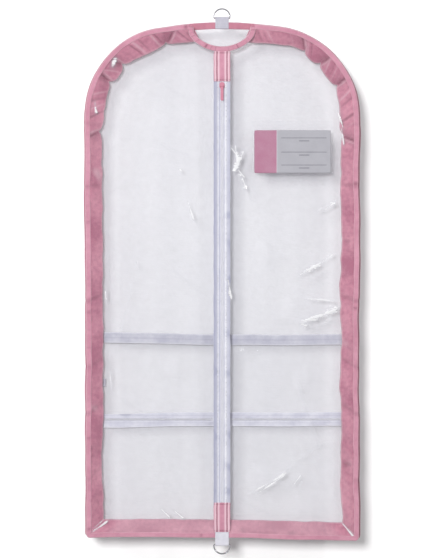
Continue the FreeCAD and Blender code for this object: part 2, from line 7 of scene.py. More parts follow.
import bpy
import numpy as np
from numpy.typing import NDArray
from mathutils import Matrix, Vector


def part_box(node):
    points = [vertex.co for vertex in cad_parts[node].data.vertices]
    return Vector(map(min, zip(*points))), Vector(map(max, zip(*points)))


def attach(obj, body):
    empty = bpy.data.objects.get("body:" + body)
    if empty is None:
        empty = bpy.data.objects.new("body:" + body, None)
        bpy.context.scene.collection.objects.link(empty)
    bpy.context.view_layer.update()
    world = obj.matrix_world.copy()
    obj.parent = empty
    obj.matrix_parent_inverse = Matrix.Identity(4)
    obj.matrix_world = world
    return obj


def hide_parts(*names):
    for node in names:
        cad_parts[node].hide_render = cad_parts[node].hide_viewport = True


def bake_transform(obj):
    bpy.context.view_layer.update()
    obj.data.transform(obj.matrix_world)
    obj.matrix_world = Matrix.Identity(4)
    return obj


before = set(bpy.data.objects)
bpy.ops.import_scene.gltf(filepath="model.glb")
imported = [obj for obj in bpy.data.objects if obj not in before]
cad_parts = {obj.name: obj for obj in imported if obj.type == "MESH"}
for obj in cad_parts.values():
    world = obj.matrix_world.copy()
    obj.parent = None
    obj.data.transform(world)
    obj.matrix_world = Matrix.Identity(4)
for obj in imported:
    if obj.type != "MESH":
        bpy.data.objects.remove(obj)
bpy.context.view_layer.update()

LOG = logging.getLogger("garment_bag")
Array = NDArray[np.float64]
Color = tuple[float, float, float]
Marks = dict[str, Array]
Piece = bpy.types.Object
Material = bpy.types.Material
Socket = bpy.types.NodeSocket

MM = 0.001
FRONT_Y = -0.024
UPPER, LOWER = "upper_bag", "lower_bag"


class Facing(Enum):
    """Which way an open sheet's faces look."""

    FRONT = -1.0
    BACK = 1.0


# ---------------------------------------------------------------- shared numpy shapes


def smooth(value: Array, low: float, high: float) -> Array:
    """Eased step.

    Args:
        value: numbers to ease.
        low: where the step starts.
        high: where the step ends, above or below low.

    Returns:
        0 before low, 1 after high, and 3t^2 - 2t^3 between.
    """
    t = np.clip((value - low) / (high - low), 0.0, 1.0)
    return t * t * (3.0 - 2.0 * t)


def bell(value: Array, middle: float, width: float) -> Array:
    """Gaussian hump of height 1 round middle, falling to 1/e at width."""
    return np.exp(-(((value - middle) / width) ** 2))


def waves(value: Array, seed: int, pitch: float, count: int = 7) -> Array:
    """Irregular ripple, a sum of sines.

    Args:
        value: place along the ripple, in metres.
        seed: fixes the phases and pitches.
        pitch: the middle wavelength, in metres.
        count: how many sines are added.

    Returns:
        The sum of count sines whose pitches lie from 0.5 to 1.9 times pitch, scaled to about -1 to 1.
    """
    draw = np.random.default_rng(seed)
    total = np.zeros_like(np.asarray(value, float))
    for _ in range(count):
        wavelength = pitch * draw.uniform(0.5, 1.9)
        total = total + np.sin(2 * math.pi * (value / wavelength + draw.uniform()))
    return total / math.sqrt(count)


def ripples(x: Array, z: Array, seed: int, pitch: float, count: int = 9) -> Array:
    """Irregular relief over a plane: a sum of plane waves in drawn directions.

    Args:
        x: across, in metres.
        z: up, in metres.
        seed: fixes directions and phases.
        pitch: the middle wavelength, in metres.
        count: how many waves are added.

    Returns:
        Heights from about -1 to 1.
    """
    draw = np.random.default_rng(seed)
    total = np.zeros(np.broadcast(x, z).shape)
    for _ in range(count):
        turn = draw.uniform(0, math.pi)
        wavelength = pitch * draw.uniform(0.6, 1.7)
        along = x * math.cos(turn) + z * math.sin(turn)
        total = total + np.sin(2 * math.pi * (along / wavelength + draw.uniform()))
    return total / math.sqrt(count)


def lie(points: Array) -> Array:
    """How the whole bag lies: its sides wander a little and its bottom right sags.

    The shift is a sum of gaussian humps down each side, faded in from the middle, plus an eased
    drop of the bottom edge to the right. It is nothing on the centre line, where the metal parts are.

    Args:
        points: places on the flat bag, last axis x, y, z.

    Returns:
        The same places, shifted.
    """
    x, y, z = points[..., 0], points[..., 1], points[..., 2]
    left = 1.6 * smooth(z, -0.37, -0.43) + 0.7 * bell(z, -0.66, 0.03) - 0.6 * bell(z, -0.80, 0.05)
    right = (
        1.6 * bell(z, -0.21, 0.035)
        + 0.7 * bell(z, -0.40, 0.08)
        - 1.2 * bell(z, -0.56, 0.055)
        - 1.4 * bell(z, -0.69, 0.025)
        + 1.8 * bell(z, -0.94, 0.05)
    )
    far = smooth(np.abs(x), 0.10, 0.24)
    across = np.where(x < 0, left, right) * far * MM
    drop = -(4.0 * smooth(x, 0.03, 0.15) + 2.6 * smooth(x, 0.17, 0.258)) * smooth(z, -0.80, -0.965) * MM
    lift = 1.2 * smooth(-x, 0.03, 0.12) * smooth(x, -0.25, -0.18) * smooth(z, -0.86, -0.965) * MM
    loose = smooth(np.hypot(x / 0.258, np.maximum(z + 0.50, 0) / 0.49), 0.70, 0.95) * MM
    x_wander = 0.55 * ripples(x, z, 3, 0.10) * loose
    z_wander = 0.55 * ripples(x, z, 4, 0.10) * loose * smooth(np.abs(x), 0.06, 0.12)
    return np.stack([x + across + x_wander * far, y, z + drop + lift + z_wander], axis=-1)


# ---------------------------------------------------------------- meshes


def volume_of(points: Array, triangles: NDArray[np.int64]) -> float:
    """Signed volume inside closed triangles, negative where they look inwards."""
    a, b, c = (points[triangles[:, k]] for k in range(3))
    return float((a * np.cross(b, c)).sum() / 6)


def make_object(
    name: str, points: Array, faces: list[list[int]], uv: Array | None = None, marks: Marks | None = None
) -> Piece:
    """Put points and faces into a new smooth-shaded object at the origin.

    Args:
        name: the piece's name.
        points: (n, 3) places in metres.
        faces: vertex numbers of each face.
        uv: (n, 2) place on the cloth for each vertex, in metres.
        marks: per-vertex numbers to store under a name.

    Returns:
        The new object.
    """
    mesh = bpy.data.meshes.new(name)
    mesh.from_pydata(points.tolist(), [], faces)
    if uv is not None:
        corners = np.zeros(len(mesh.loops), np.int32)
        mesh.loops.foreach_get("vertex_index", corners)
        mesh.uv_layers.new(name="cloth").data.foreach_set("uv", uv[corners].astype(np.float32).ravel())
    for key, values in (marks or {}).items():
        stored = mesh.attributes.new(key, "FLOAT", "POINT").data
        stored.foreach_set("value", values.astype(np.float32).ravel())
    mesh.polygons.foreach_set("use_smooth", np.ones(len(mesh.polygons), bool))
    mesh.update()
    made = bpy.data.objects.new(name, mesh)
    bpy.context.scene.collection.objects.link(made)
    return made


def grid_quads(rows: int, columns: int, close_rows: bool, close_columns: bool) -> NDArray[np.int64]:
    """Vertex numbers of the quads of a grid.

    Args:
        rows: vertices along the first way.
        columns: vertices along the second way.
        close_rows: whether the last row joins the first.
        close_columns: whether the last column joins the first.

    Returns:
        (quads, 4) vertex numbers, row-major.
    """
    i, j = np.meshgrid(
        np.arange(rows if close_rows else rows - 1),
        np.arange(columns if close_columns else columns - 1),
        indexing="ij",
    )
    i2, j2 = (i + 1) % rows, (j + 1) % columns
    corners = [i * columns + j, i2 * columns + j, i2 * columns + j2, i * columns + j2]
    return np.stack(corners, -1).reshape(-1, 4)


def grid_uv(grid: Array) -> Array:
    """Cloth coordinates of a grid: running length along rows and along columns, from their means."""
    along = np.linalg.norm(np.diff(grid, axis=0), axis=2).mean(axis=1)
    across = np.linalg.norm(np.diff(grid, axis=1), axis=2).mean(axis=0)
    u, v = np.concatenate([[0], np.cumsum(along)]), np.concatenate([[0], np.cumsum(across)])
    return np.stack(np.meshgrid(v, u), -1).reshape(-1, 2)


def open_sheet(name: str, grid: Array, facing: Facing, marks: Marks | None = None) -> Piece:
    """An open sheet on a grid of places.

    Args:
        name: the piece's name.
        grid: (rows, columns, 3) places.
        facing: which way its faces look.
        marks: per-vertex numbers to store.

    Returns:
        The new object.
    """
    rows, columns = grid.shape[:2]
    quads = grid_quads(rows, columns, False, False)
    points = grid.reshape(-1, 3)
    turn = np.cross(points[quads[:, 1]] - points[quads[:, 0]], points[quads[:, 3]] - points[quads[:, 0]])
    if turn[:, 1].sum() * facing.value < 0:
        quads = quads[:, ::-1]
    return make_object(name, points, quads.tolist(), grid_uv(grid), marks)


def swept(name: str, grid: Array, closed_path: bool = False, marks: Marks | None = None) -> Piece:
    """A closed profile carried along a path, capped where the path is open.

    Args:
        name: the piece's name.
        grid: (stations, profile points, 3) places; the profile closes on itself.
        closed_path: whether the path is a loop.
        marks: per-vertex numbers to store.

    Returns:
        The new object, with its faces looking outwards.
    """
    rows, columns = grid.shape[:2]
    quads = grid_quads(rows, columns, closed_path, True)
    points = grid.reshape(-1, 3)
    triangles = np.concatenate([quads[:, [0, 1, 2]], quads[:, [0, 2, 3]]])
    first = list(range(columns))
    last = list(range((rows - 1) * columns, rows * columns))
    if volume_of(points - points.mean(axis=0), triangles) < 0:
        quads = quads[:, ::-1]
        faces = quads.tolist() + ([] if closed_path else [first[::-1], last])
    else:
        faces = quads.tolist() + ([] if closed_path else [first, last[::-1]])
    return make_object(name, points, faces, grid_uv(grid), marks)


def slab(name: str, grid: Array, thickness: float | Array, marks: Marks | None = None) -> Piece:
    """A cloth patch with two faces and a rim, from the grid of its front face.

    The back face is the front one moved along +Y by thickness, and the rim joins their borders.

    Args:
        name: the piece's name.
        grid: (rows, columns, 3) places of the front face.
        thickness: how far back the other face lies, one number or one per grid point.
        marks: per-vertex numbers of the front face.

    Returns:
        The new object.
    """
    rows, columns = grid.shape[:2]
    back = grid.copy()
    back[..., 1] += thickness
    points = np.concatenate([grid.reshape(-1, 3), back.reshape(-1, 3)])
    quads = grid_quads(rows, columns, False, False)
    shift = rows * columns
    rim = np.concatenate(
        [
            np.arange(columns),
            np.arange(1, rows) * columns + columns - 1,
            (rows - 1) * columns + np.arange(columns - 2, -1, -1),
            np.arange(rows - 2, 0, -1) * columns,
        ]
    )
    ahead = np.roll(rim, -1)
    walls = np.stack([ahead, rim, rim + shift, ahead + shift], -1)
    faces = np.concatenate([quads, quads[:, ::-1] + shift, walls[:, ::-1]])
    triangles = np.concatenate([faces[:, [0, 1, 2]], faces[:, [0, 2, 3]]])
    if volume_of(points - points.mean(axis=0), triangles) < 0:
        faces = faces[:, ::-1]
    uv = np.tile(grid_uv(grid), (2, 1))
    doubled = {key: np.tile(values.ravel(), 2) for key, values in (marks or {}).items()}
    return make_object(name, points, faces.tolist(), uv, doubled)


def even_steps(path: Array, pitch: float) -> tuple[Array, Array]:
    """Places at even steps along a polyline.

    Args:
        path: (n, 3) places.
        pitch: the step, in metres.

    Returns:
        (k, 3) places and (k, 3) unit directions along the path.
    """
    run = np.concatenate([[0], np.cumsum(np.linalg.norm(np.diff(path, axis=0), axis=1))])
    keep = np.concatenate([[True], np.diff(run) > 1e-9])
    path, run = path[keep], run[keep]
    stops = np.arange(pitch / 2, run[-1], pitch)
    places = np.stack([np.interp(stops, run, path[:, k]) for k in range(3)], -1)
    ahead = np.stack([np.interp(stops + pitch / 4, run, path[:, k]) for k in range(3)], -1)
    behind = np.stack([np.interp(stops - pitch / 4, run, path[:, k]) for k in range(3)], -1)
    way = ahead - behind
    return places, way / np.maximum(np.linalg.norm(way, axis=1, keepdims=True), 1e-12)


@dataclass(frozen=True)
class Thread:
    """Sewing thread that shows as a row of short raised stitches."""

    pitch: float = 3.4 * MM
    length: float = 2.5 * MM
    radius: float = 0.28 * MM
    rings: int = 4
    sides: int = 6

    def row(self, name: str, paths: list[Array], up: Color) -> Piece:
        """Stitches along some paths, each a little capsule.

        A capsule's ring at angle a from its tail has radius sin a and stands at -cos a of half its length.

        Args:
            name: the piece's name.
            paths: (n, 3) places that the thread follows.
            up: the way the stitches stand out of the cloth.

        Returns:
            The new object.
        """
        stops = [even_steps(path, self.pitch) for path in paths]
        places = np.concatenate([places for places, _ in stops])
        ways = np.concatenate([ways for _, ways in stops])
        stand = np.tile(np.asarray(up, float), (len(places), 1))
        aside = np.cross(ways, stand)
        ring = np.linspace(0, math.pi, self.rings + 2)[1:-1]
        turn = np.arange(self.sides) * 2 * math.pi / self.sides
        body = np.stack(
            [
                np.repeat(-np.cos(ring), self.sides) * self.length / 2,
                np.outer(np.sin(ring), np.cos(turn)).ravel() * self.radius,
                np.outer(np.sin(ring), np.sin(turn)).ravel() * self.radius * 0.8,
            ],
            -1,
        )
        ends = np.array([[-self.length / 2, 0, 0], [self.length / 2, 0, 0]])
        capsule = np.concatenate([body, ends])
        points = (
            places[:, None, :]
            + capsule[None, :, :1] * ways[:, None, :]
            + capsule[None, :, 1:2] * aside[:, None, :]
            + capsule[None, :, 2:] * stand[:, None, :]
        )
        quads = grid_quads(self.rings, self.sides, False, True)
        tail, nose = len(body), len(body) + 1
        first, after = np.arange(self.sides), (np.arange(self.sides) + 1) % self.sides
        base = (self.rings - 1) * self.sides
        poles = np.concatenate(
            [
                np.stack([np.full(self.sides, tail), first, after], -1),
                np.stack([np.full(self.sides, nose), base + after, base + first], -1),
            ]
        )
        count = len(capsule)
        offsets = np.arange(len(places))[:, None, None] * count
        triangles = np.concatenate([quads[:, [0, 1, 2]], quads[:, [0, 2, 3]]])
        closed = np.concatenate([triangles, poles[:, ::-1]])
        if volume_of(points[0] - points[0].mean(axis=0), closed) < 0:
            quads = quads[:, ::-1]
        else:
            poles = poles[:, ::-1]
        faces = (quads[None] + offsets).reshape(-1, 4).tolist()
        faces += (poles[None] + offsets).reshape(-1, 3).tolist()
        flat_uv = np.tile(capsule[:, :2], (len(places), 1))
        return make_object(name, points.reshape(-1, 3), faces, flat_uv)


def node_box(*names: str) -> tuple[Array, Array]:
    """Lowest and highest corner round some CAD nodes together."""
    corners = [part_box(name) for name in names]
    lows = np.array([tuple(low) for low, _ in corners])
    highs = np.array([tuple(high) for _, high in corners])
    return lows.min(axis=0), highs.max(axis=0)


# ---------------------------------------------------------------- outline of the bag


@dataclass(frozen=True)
class Stations:
    """Stops along half of the outline, from the top down one side and along the bottom to its middle."""

    part: NDArray[np.int64]
    share: Array


@dataclass(frozen=True)
class Outline:
    """The bag's outer edge: a long flat arc on top, round shoulders, straight sides, small bottom corners."""

    half_width: float
    bottom: float
    top_radius: float = 690 * MM
    top_centre: float = -697.5 * MM
    shoulder_radius: float = 168 * MM
    shoulder_x: float = 90 * MM
    shoulder_z: float = -183.3 * MM
    corner: float = 8 * MM
    crisp: float = 0.4 * MM

    @property
    def joint_angle(self) -> float:
        """Angle from upright at which the top arc turns into the shoulder."""
        return math.atan2(self.shoulder_x, self.shoulder_z - self.top_centre)

    def stations(self, step: float) -> Stations:
        """Stops about step apart on each of the outline's five parts."""
        lengths = [
            self.top_radius * self.joint_angle,
            self.shoulder_radius * (math.pi / 2 - self.joint_angle),
            self.shoulder_z - self.bottom - self.corner,
            self.corner * math.pi / 2,
            self.half_width - self.corner,
        ]
        counts = [max(4, round(length / step)) for length in lengths]
        part = np.concatenate([np.full(count, k) for k, count in enumerate(counts)])
        share = np.concatenate([np.arange(count) / count for count in counts])
        return Stations(np.append(part, 4), np.append(share, 1.0))

    def half(self, stops: Stations, inset: float | Array, rise: float | Array, from_x: float = 0.0) -> Array:
        """Places on the right half, moved inwards.

        Arcs shrink round their own centres, the side moves in by inset and the bottom up by rise, and
        past the corner's radius the two meet in a sharp mitre.

        Args:
            stops: where along the outline.
            inset: how far in from the top and side edges.
            rise: how far up from the bottom edge.
            from_x: where the top arc starts.

        Returns:
            (..., stops, 2) x and z.
        """
        inset, rise = np.broadcast_arrays(np.asarray(inset, float), np.asarray(rise, float))
        start = math.asin(from_x / self.top_radius)
        f = stops.share
        low = start + (self.joint_angle - start) * f
        high = self.joint_angle + (math.pi / 2 - self.joint_angle) * f
        turn = f * math.pi / 2
        round_ = np.maximum(self.corner - np.minimum(inset, rise), self.crisp)
        side_end = self.bottom + rise + round_
        bottom_start = self.half_width - inset - round_
        choose = [stops.part == k for k in range(4)]
        x = np.select(
            choose,
            [
                (self.top_radius - inset) * np.sin(low),
                self.shoulder_x + (self.shoulder_radius - inset) * np.sin(high),
                self.half_width - inset + 0 * f,
                bottom_start + round_ * np.cos(turn),
            ],
            bottom_start * (1 - f),
        )
        z = np.select(
            choose,
            [
                self.top_centre + (self.top_radius - inset) * np.cos(low),
                self.shoulder_z + (self.shoulder_radius - inset) * np.cos(high),
                self.shoulder_z + (side_end - self.shoulder_z) * f,
                side_end - round_ * np.sin(turn),
            ],
            self.bottom + rise + 0 * f,
        )
        return np.stack([x, z], -1)

    def around(self, step: float, from_x: float = 0.0) -> "Path":
        """The path from the top round the right side, the bottom and the left side back to the top."""
        return Path(self, self.stations(step), from_x)


@dataclass(frozen=True)
class Path:
    """A run round the whole outline, right half first."""

    outline: Outline
    stops: Stations
    from_x: float

    def at(self, inset: float | Array, rise: float | Array) -> Array:
        """Places along the run.

        Args:
            inset: how far in, one number or one per stop of the run.
            rise: how far up from the bottom edge, likewise.

        Returns:
            (stops, 2) x and z.
        """
        count = 2 * len(self.stops.part) - 1
        inset, rise = (np.broadcast_to(np.asarray(v, float), (count,)) for v in (inset, rise))
        middle = len(self.stops.part)
        right = self.outline.half(self.stops, inset[:middle], rise[:middle], self.from_x)
        back_inset, back_rise = inset[middle - 1 :][::-1], rise[middle - 1 :][::-1]
        left = self.outline.half(self.stops, back_inset, back_rise, self.from_x)[::-1] * [-1, 1]
        return np.concatenate([right, left[1:]])

    def run(self) -> Array:
        """Running length along the outer edge."""
        edge = self.at(0.0, 0.0)
        return np.concatenate([[0], np.cumsum(np.linalg.norm(np.diff(edge, axis=0), axis=1))])


@dataclass(frozen=True)
class Neck:
    """The hanger's opening: a shallow bowl with round corners, open to the top edge."""

    half_width: float = 53 * MM
    corner: float = 26 * MM
    corner_z: float = -20 * MM
    sweep: float = 67.45 * MM
    sweep_z: float = 11.45 * MM

    def path(self, grow: float | Array, top: float, step: float) -> Array:
        """Places round the bowl from its left top to its right top.

        Args:
            grow: how far outside the opening.
            top: height at which both ends stop.
            step: how far apart.

        Returns:
            (n, 2) x and z.
        """
        meet = math.atan2(self.half_width - self.corner, self.sweep_z - self.corner_z)
        sweep = np.linspace(0, meet, max(6, round(self.sweep * meet / step)), endpoint=False)
        bend = np.linspace(meet, math.pi / 2, max(8, round(1.6 * self.corner * (math.pi / 2 - meet) / step)))
        rise = np.linspace(self.corner_z, top, max(4, round(abs(top - self.corner_z) / step) + 2))[1:]
        a = np.concatenate([sweep, bend])
        centre_x = np.where(np.arange(len(a)) < len(sweep), 0.0, self.half_width - self.corner)
        centre_z = np.where(np.arange(len(a)) < len(sweep), self.sweep_z, self.corner_z)
        radius = np.where(np.arange(len(a)) < len(sweep), self.sweep, self.corner)
        grow = np.asarray(grow, float)
        upright = np.full(len(rise), self.half_width + float(grow))
        x = np.concatenate([centre_x + (radius + grow) * np.sin(a), upright])
        z = np.concatenate([centre_z - (radius + grow) * np.cos(a), rise])
        right = np.stack([x, z], -1)
        return np.concatenate([right[::-1][:-1] * [-1, 1], right])

    def side_at(self, z: Array, grow: float, least: float) -> Array:
        """How far from the middle a panel starts at height z, past the bowl and never under least."""
        half = self.path(grow, 0.05, 1 * MM)
        half = half[half[:, 0] >= 0]
        return np.maximum(np.interp(z, half[:, 1], half[:, 0], left=least), least)


# ---------------------------------------------------------------- material building blocks


class Tree:
    """Shorthand for adding and linking nodes in one node tree."""

    def __init__(self, tree: bpy.types.NodeTree) -> None:
        """Keep the tree."""
        self.tree = tree

    def add(self, kind: str, **settings: object) -> bpy.types.Node:
        """A new node with some of its settings."""
        node = self.tree.nodes.new(kind)
        for key, value in settings.items():
            setattr(node, key, value)
        return node

    def join(self, start: Socket, end: Socket) -> None:
        """Link two sockets."""
        self.tree.links.new(start, end)

    def math(self, kind: str, *values: float | Socket, clamp: bool = False) -> Socket:
        """A sum worked out by one Math node.

        Args:
            kind: the node's operation.
            values: numbers or sockets for its inputs.
            clamp: whether the answer is kept from 0 to 1.

        Returns:
            The answer's socket.
        """
        node = self.add("ShaderNodeMath", operation=kind, use_clamp=clamp)
        for k, value in enumerate(values):
            if isinstance(value, Socket):
                self.join(value, node.inputs[k])
            else:
                node.inputs[k].default_value = value
        return node.outputs[0]

    def spread(self, value: Socket, low: float, high: float, to: tuple[float, float]) -> Socket:
        """Value carried linearly from low..high to the range to, and held outside it."""
        node = self.add("ShaderNodeMapRange")
        self.join(value, node.inputs["Value"])
        for key, number in (("From Min", low), ("From Max", high), ("To Min", to[0]), ("To Max", to[1])):
            node.inputs[key].default_value = number
        return node.outputs["Result"]

    def blend(self, share: Socket, first: Color, second: Color) -> Socket:
        """Colour that goes from first to second with share."""
        node = self.add("ShaderNodeMix", data_type="RGBA")
        self.join(share, node.inputs[0])
        node.inputs[6].default_value = (*first, 1)
        node.inputs[7].default_value = (*second, 1)
        return node.outputs[2]

    def over(
        self, base: Socket, share: Socket, colour: Color
    ) -> Socket:
        """Colour laid over base by share."""
        node = self.add("ShaderNodeMix", data_type="RGBA")
        self.join(share, node.inputs[0])
        self.join(base, node.inputs[6])
        node.inputs[7].default_value = (*colour, 1)
        return node.outputs[2]

    def mark(self, name: str) -> Socket:
        """A number that the piece's own mesh carries, 0 where it has none."""
        return self.add("ShaderNodeAttribute", attribute_name=name).outputs["Fac"]

    def noise(self, vector: Socket | None, scale: float, detail: float = 2.0) -> Socket:
        """Soft noise from 0 to 1 over a vector."""
        node = self.add("ShaderNodeTexNoise")
        node.inputs["Scale"].default_value = scale
        node.inputs["Detail"].default_value = detail
        if vector is not None:
            self.join(vector, node.inputs["Vector"])
        return node.outputs["Fac"]

    def group(self, kind: "bpy.types.NodeTree", vector: Socket, **values: float) -> bpy.types.Node:
        """A shared effect placed in this tree with its own values."""
        node = self.add("ShaderNodeGroup", node_tree=kind)
        self.join(vector, node.inputs["Vector"])
        for key, value in values.items():
            node.inputs[key].default_value = value
        return node

    def bump(self, height: Socket, strength: float, distance: float) -> Socket:
        """The normal that a height gives."""
        node = self.add("ShaderNodeBump")
        node.inputs["Strength"].default_value = strength
        node.inputs["Distance"].default_value = distance
        self.join(height, node.inputs["Height"])
        return node.outputs["Normal"]


def new_group(name: str, numbers: dict[str, float], outputs: tuple[str, ...]) -> tuple[Tree, dict, dict]:
    """An empty shared effect.

    Args:
        name: the group's name.
        numbers: its number inputs with their usual values.
        outputs: its number outputs.

    Returns:
        Its tree, its input sockets and its output sockets, by name.
    """
    made = bpy.data.node_groups.new(name, "ShaderNodeTree")
    made.interface.new_socket("Vector", in_out="INPUT", socket_type="NodeSocketVector")
    for key, usual in numbers.items():
        made.interface.new_socket(key, in_out="INPUT", socket_type="NodeSocketFloat").default_value = usual
    for key in outputs:
        made.interface.new_socket(key, in_out="OUTPUT", socket_type="NodeSocketFloat")
    tree = Tree(made)
    return tree, tree.add("NodeGroupInput").outputs, tree.add("NodeGroupOutput").inputs


def build_weave() -> bpy.types.NodeTree:
    """Plain or ribbed weave over cloth coordinates.

    Height is the product of the sines of both threads' phases, and Rib the second thread's alone.

    Returns:
        The group, with inputs Warp and Weft in metres and outputs Height and Rib.
    """
    tree, inputs, outputs = new_group("weave", {"Warp": 0.6 * MM, "Weft": 0.6 * MM}, ("Height", "Rib"))
    parts = tree.add("ShaderNodeSeparateXYZ")
    tree.join(inputs["Vector"], parts.inputs[0])
    phases = [tree.math("DIVIDE", parts.outputs[k], inputs[key]) for k, key in enumerate(("Warp", "Weft"))]
    sines = [tree.math("SINE", tree.math("MULTIPLY", phase, 2 * math.pi)) for phase in phases]
    tree.join(tree.math("MULTIPLY", *sines), outputs["Height"])
    tree.join(tree.math("MULTIPLY_ADD", sines[1], 0.5, 0.5), outputs["Rib"])
    return tree.tree


def build_mottle() -> bpy.types.NodeTree:
    """Uneven tone: a broad and a fine noise, averaged.

    Returns:
        The group, with inputs Broad and Fine scales and output Tone from 0 to 1.
    """
    tree, inputs, outputs = new_group("mottle", {"Broad": 18.0, "Fine": 140.0}, ("Tone",))
    tones = []
    for key in ("Broad", "Fine"):
        node = tree.add("ShaderNodeTexNoise")
        node.inputs["Detail"].default_value = 3.0
        tree.join(inputs["Vector"], node.inputs["Vector"])
        tree.join(inputs[key], node.inputs["Scale"])
        tones.append(node.outputs["Fac"])
    broad = tree.math("MULTIPLY", tones[0], 0.65)
    tree.join(tree.math("MULTIPLY_ADD", tones[1], 0.35, broad), outputs["Tone"])
    return tree.tree


def build_crinkle() -> bpy.types.NodeTree:
    """Sharp kinks of clear film: thin ridges where a warped noise crosses its middle.

    A ridge is 1 - |2n - 1| of the noise n, raised to a power so that only its crest is left.

    Returns:
        The group, with inputs Scale and Sharp and outputs Ridge and Swell.
    """
    tree, inputs, outputs = new_group("crinkle", {"Scale": 30.0, "Sharp": 14.0}, ("Ridge", "Swell"))
    node = tree.add("ShaderNodeTexNoise")
    node.inputs["Detail"].default_value = 3.0
    node.inputs["Distortion"].default_value = 0.6
    tree.join(inputs["Vector"], node.inputs["Vector"])
    tree.join(inputs["Scale"], node.inputs["Scale"])
    fold = tree.math("ABSOLUTE", tree.math("MULTIPLY_ADD", node.outputs["Fac"], 2.0, -1.0))
    tree.join(tree.math("POWER", tree.math("SUBTRACT", 1.0, fold), inputs["Sharp"]), outputs["Ridge"])
    tree.join(node.outputs["Fac"], outputs["Swell"])
    return tree.tree


@dataclass(frozen=True)
class Effects:
    """The shared effects, built once."""

    weave: bpy.types.NodeTree = field(default_factory=build_weave)
    mottle: bpy.types.NodeTree = field(default_factory=build_mottle)
    crinkle: bpy.types.NodeTree = field(default_factory=build_crinkle)


EFFECTS = Effects()


def new_material(name: str) -> tuple[Material, Tree, bpy.types.Node, bpy.types.Node]:
    """An empty material with a Principled shader.

    Args:
        name: its name.

    Returns:
        The material, its tree, the shader and a Texture Coordinate node.
    """
    material = bpy.data.materials.new(name)
    material.use_nodes = True
    tree = Tree(material.node_tree)
    shader = material.node_tree.nodes["Principled BSDF"]
    return material, tree, shader, tree.add("ShaderNodeTexCoord")


@dataclass(frozen=True)
class Cloth:
    """Woven nylon, polyester or cotton finish, with painted shade where its mesh is marked crease and painted
    highlights where it is marked rim.
    """

    name: str
    light: Color
    dark: Color
    roughness: float = 0.55
    sheen: float = 0.3
    warp: float = 0.7 * MM
    weft: float = 0.7 * MM
    relief: float = 0.12 * MM
    broad: float = 22.0
    crumple: float = 0.0
    specular: float = 0.5
    # colour and strength of the painted shade laid at crease marks, then of the painted highlight laid at rim
    # marks
    painted_shade: Color = (0.17, 0.035, 0.07)
    depth: float = 0.9
    pale: Color = (0.92, 0.70, 0.77)
    edge: float = 0.95

    def material(self) -> Material:
        """The cloth's material: mottled tone, painted shade and painted highlights from the mesh's marks,
        weave relief and a soft crumple.

        Returns:
            The material.
        """
        made, tree, shader, coordinate = new_material(self.name)
        tone = tree.group(EFFECTS.mottle, coordinate.outputs["Object"], Broad=self.broad).outputs["Tone"]
        weave = tree.group(EFFECTS.weave, coordinate.outputs["UV"], Warp=self.warp, Weft=self.weft)
        cloudy = tree.spread(tone, 0.38, 0.64, (0, 1))
        share = tree.math("MULTIPLY_ADD", weave.outputs["Height"], 0.10, cloudy, clamp=True)
        base = tree.blend(share, self.dark, self.light)
        # painted shade where the mesh's crease mark is high
        base = tree.over(base, tree.math("MULTIPLY", tree.mark("crease"), self.depth, clamp=True), self.painted_shade)
        # painted highlight where the mesh's rim mark is high
        base = tree.over(base, tree.math("MULTIPLY", tree.mark("rim"), self.edge, clamp=True), self.pale)
        tree.join(base, shader.inputs["Base Color"])
        rough = tree.spread(tone, 0.3, 0.7, (self.roughness + 0.08, self.roughness - 0.08))
        tree.join(rough, shader.inputs["Roughness"])
        shader.inputs["Sheen Weight"].default_value = self.sheen
        shader.inputs["Sheen Roughness"].default_value = 0.45
        shader.inputs["Specular IOR Level"].default_value = self.specular
        height = tree.math("MULTIPLY", weave.outputs["Height"], 0.5)
        if self.crumple:
            fold = tree.group(EFFECTS.crinkle, coordinate.outputs["Object"], Scale=26.0, Sharp=3.0)
            height = tree.math("MULTIPLY_ADD", fold.outputs["Ridge"], self.crumple, height)
        tree.join(tree.bump(height, 0.9, self.relief), shader.inputs["Normal"])
        return made


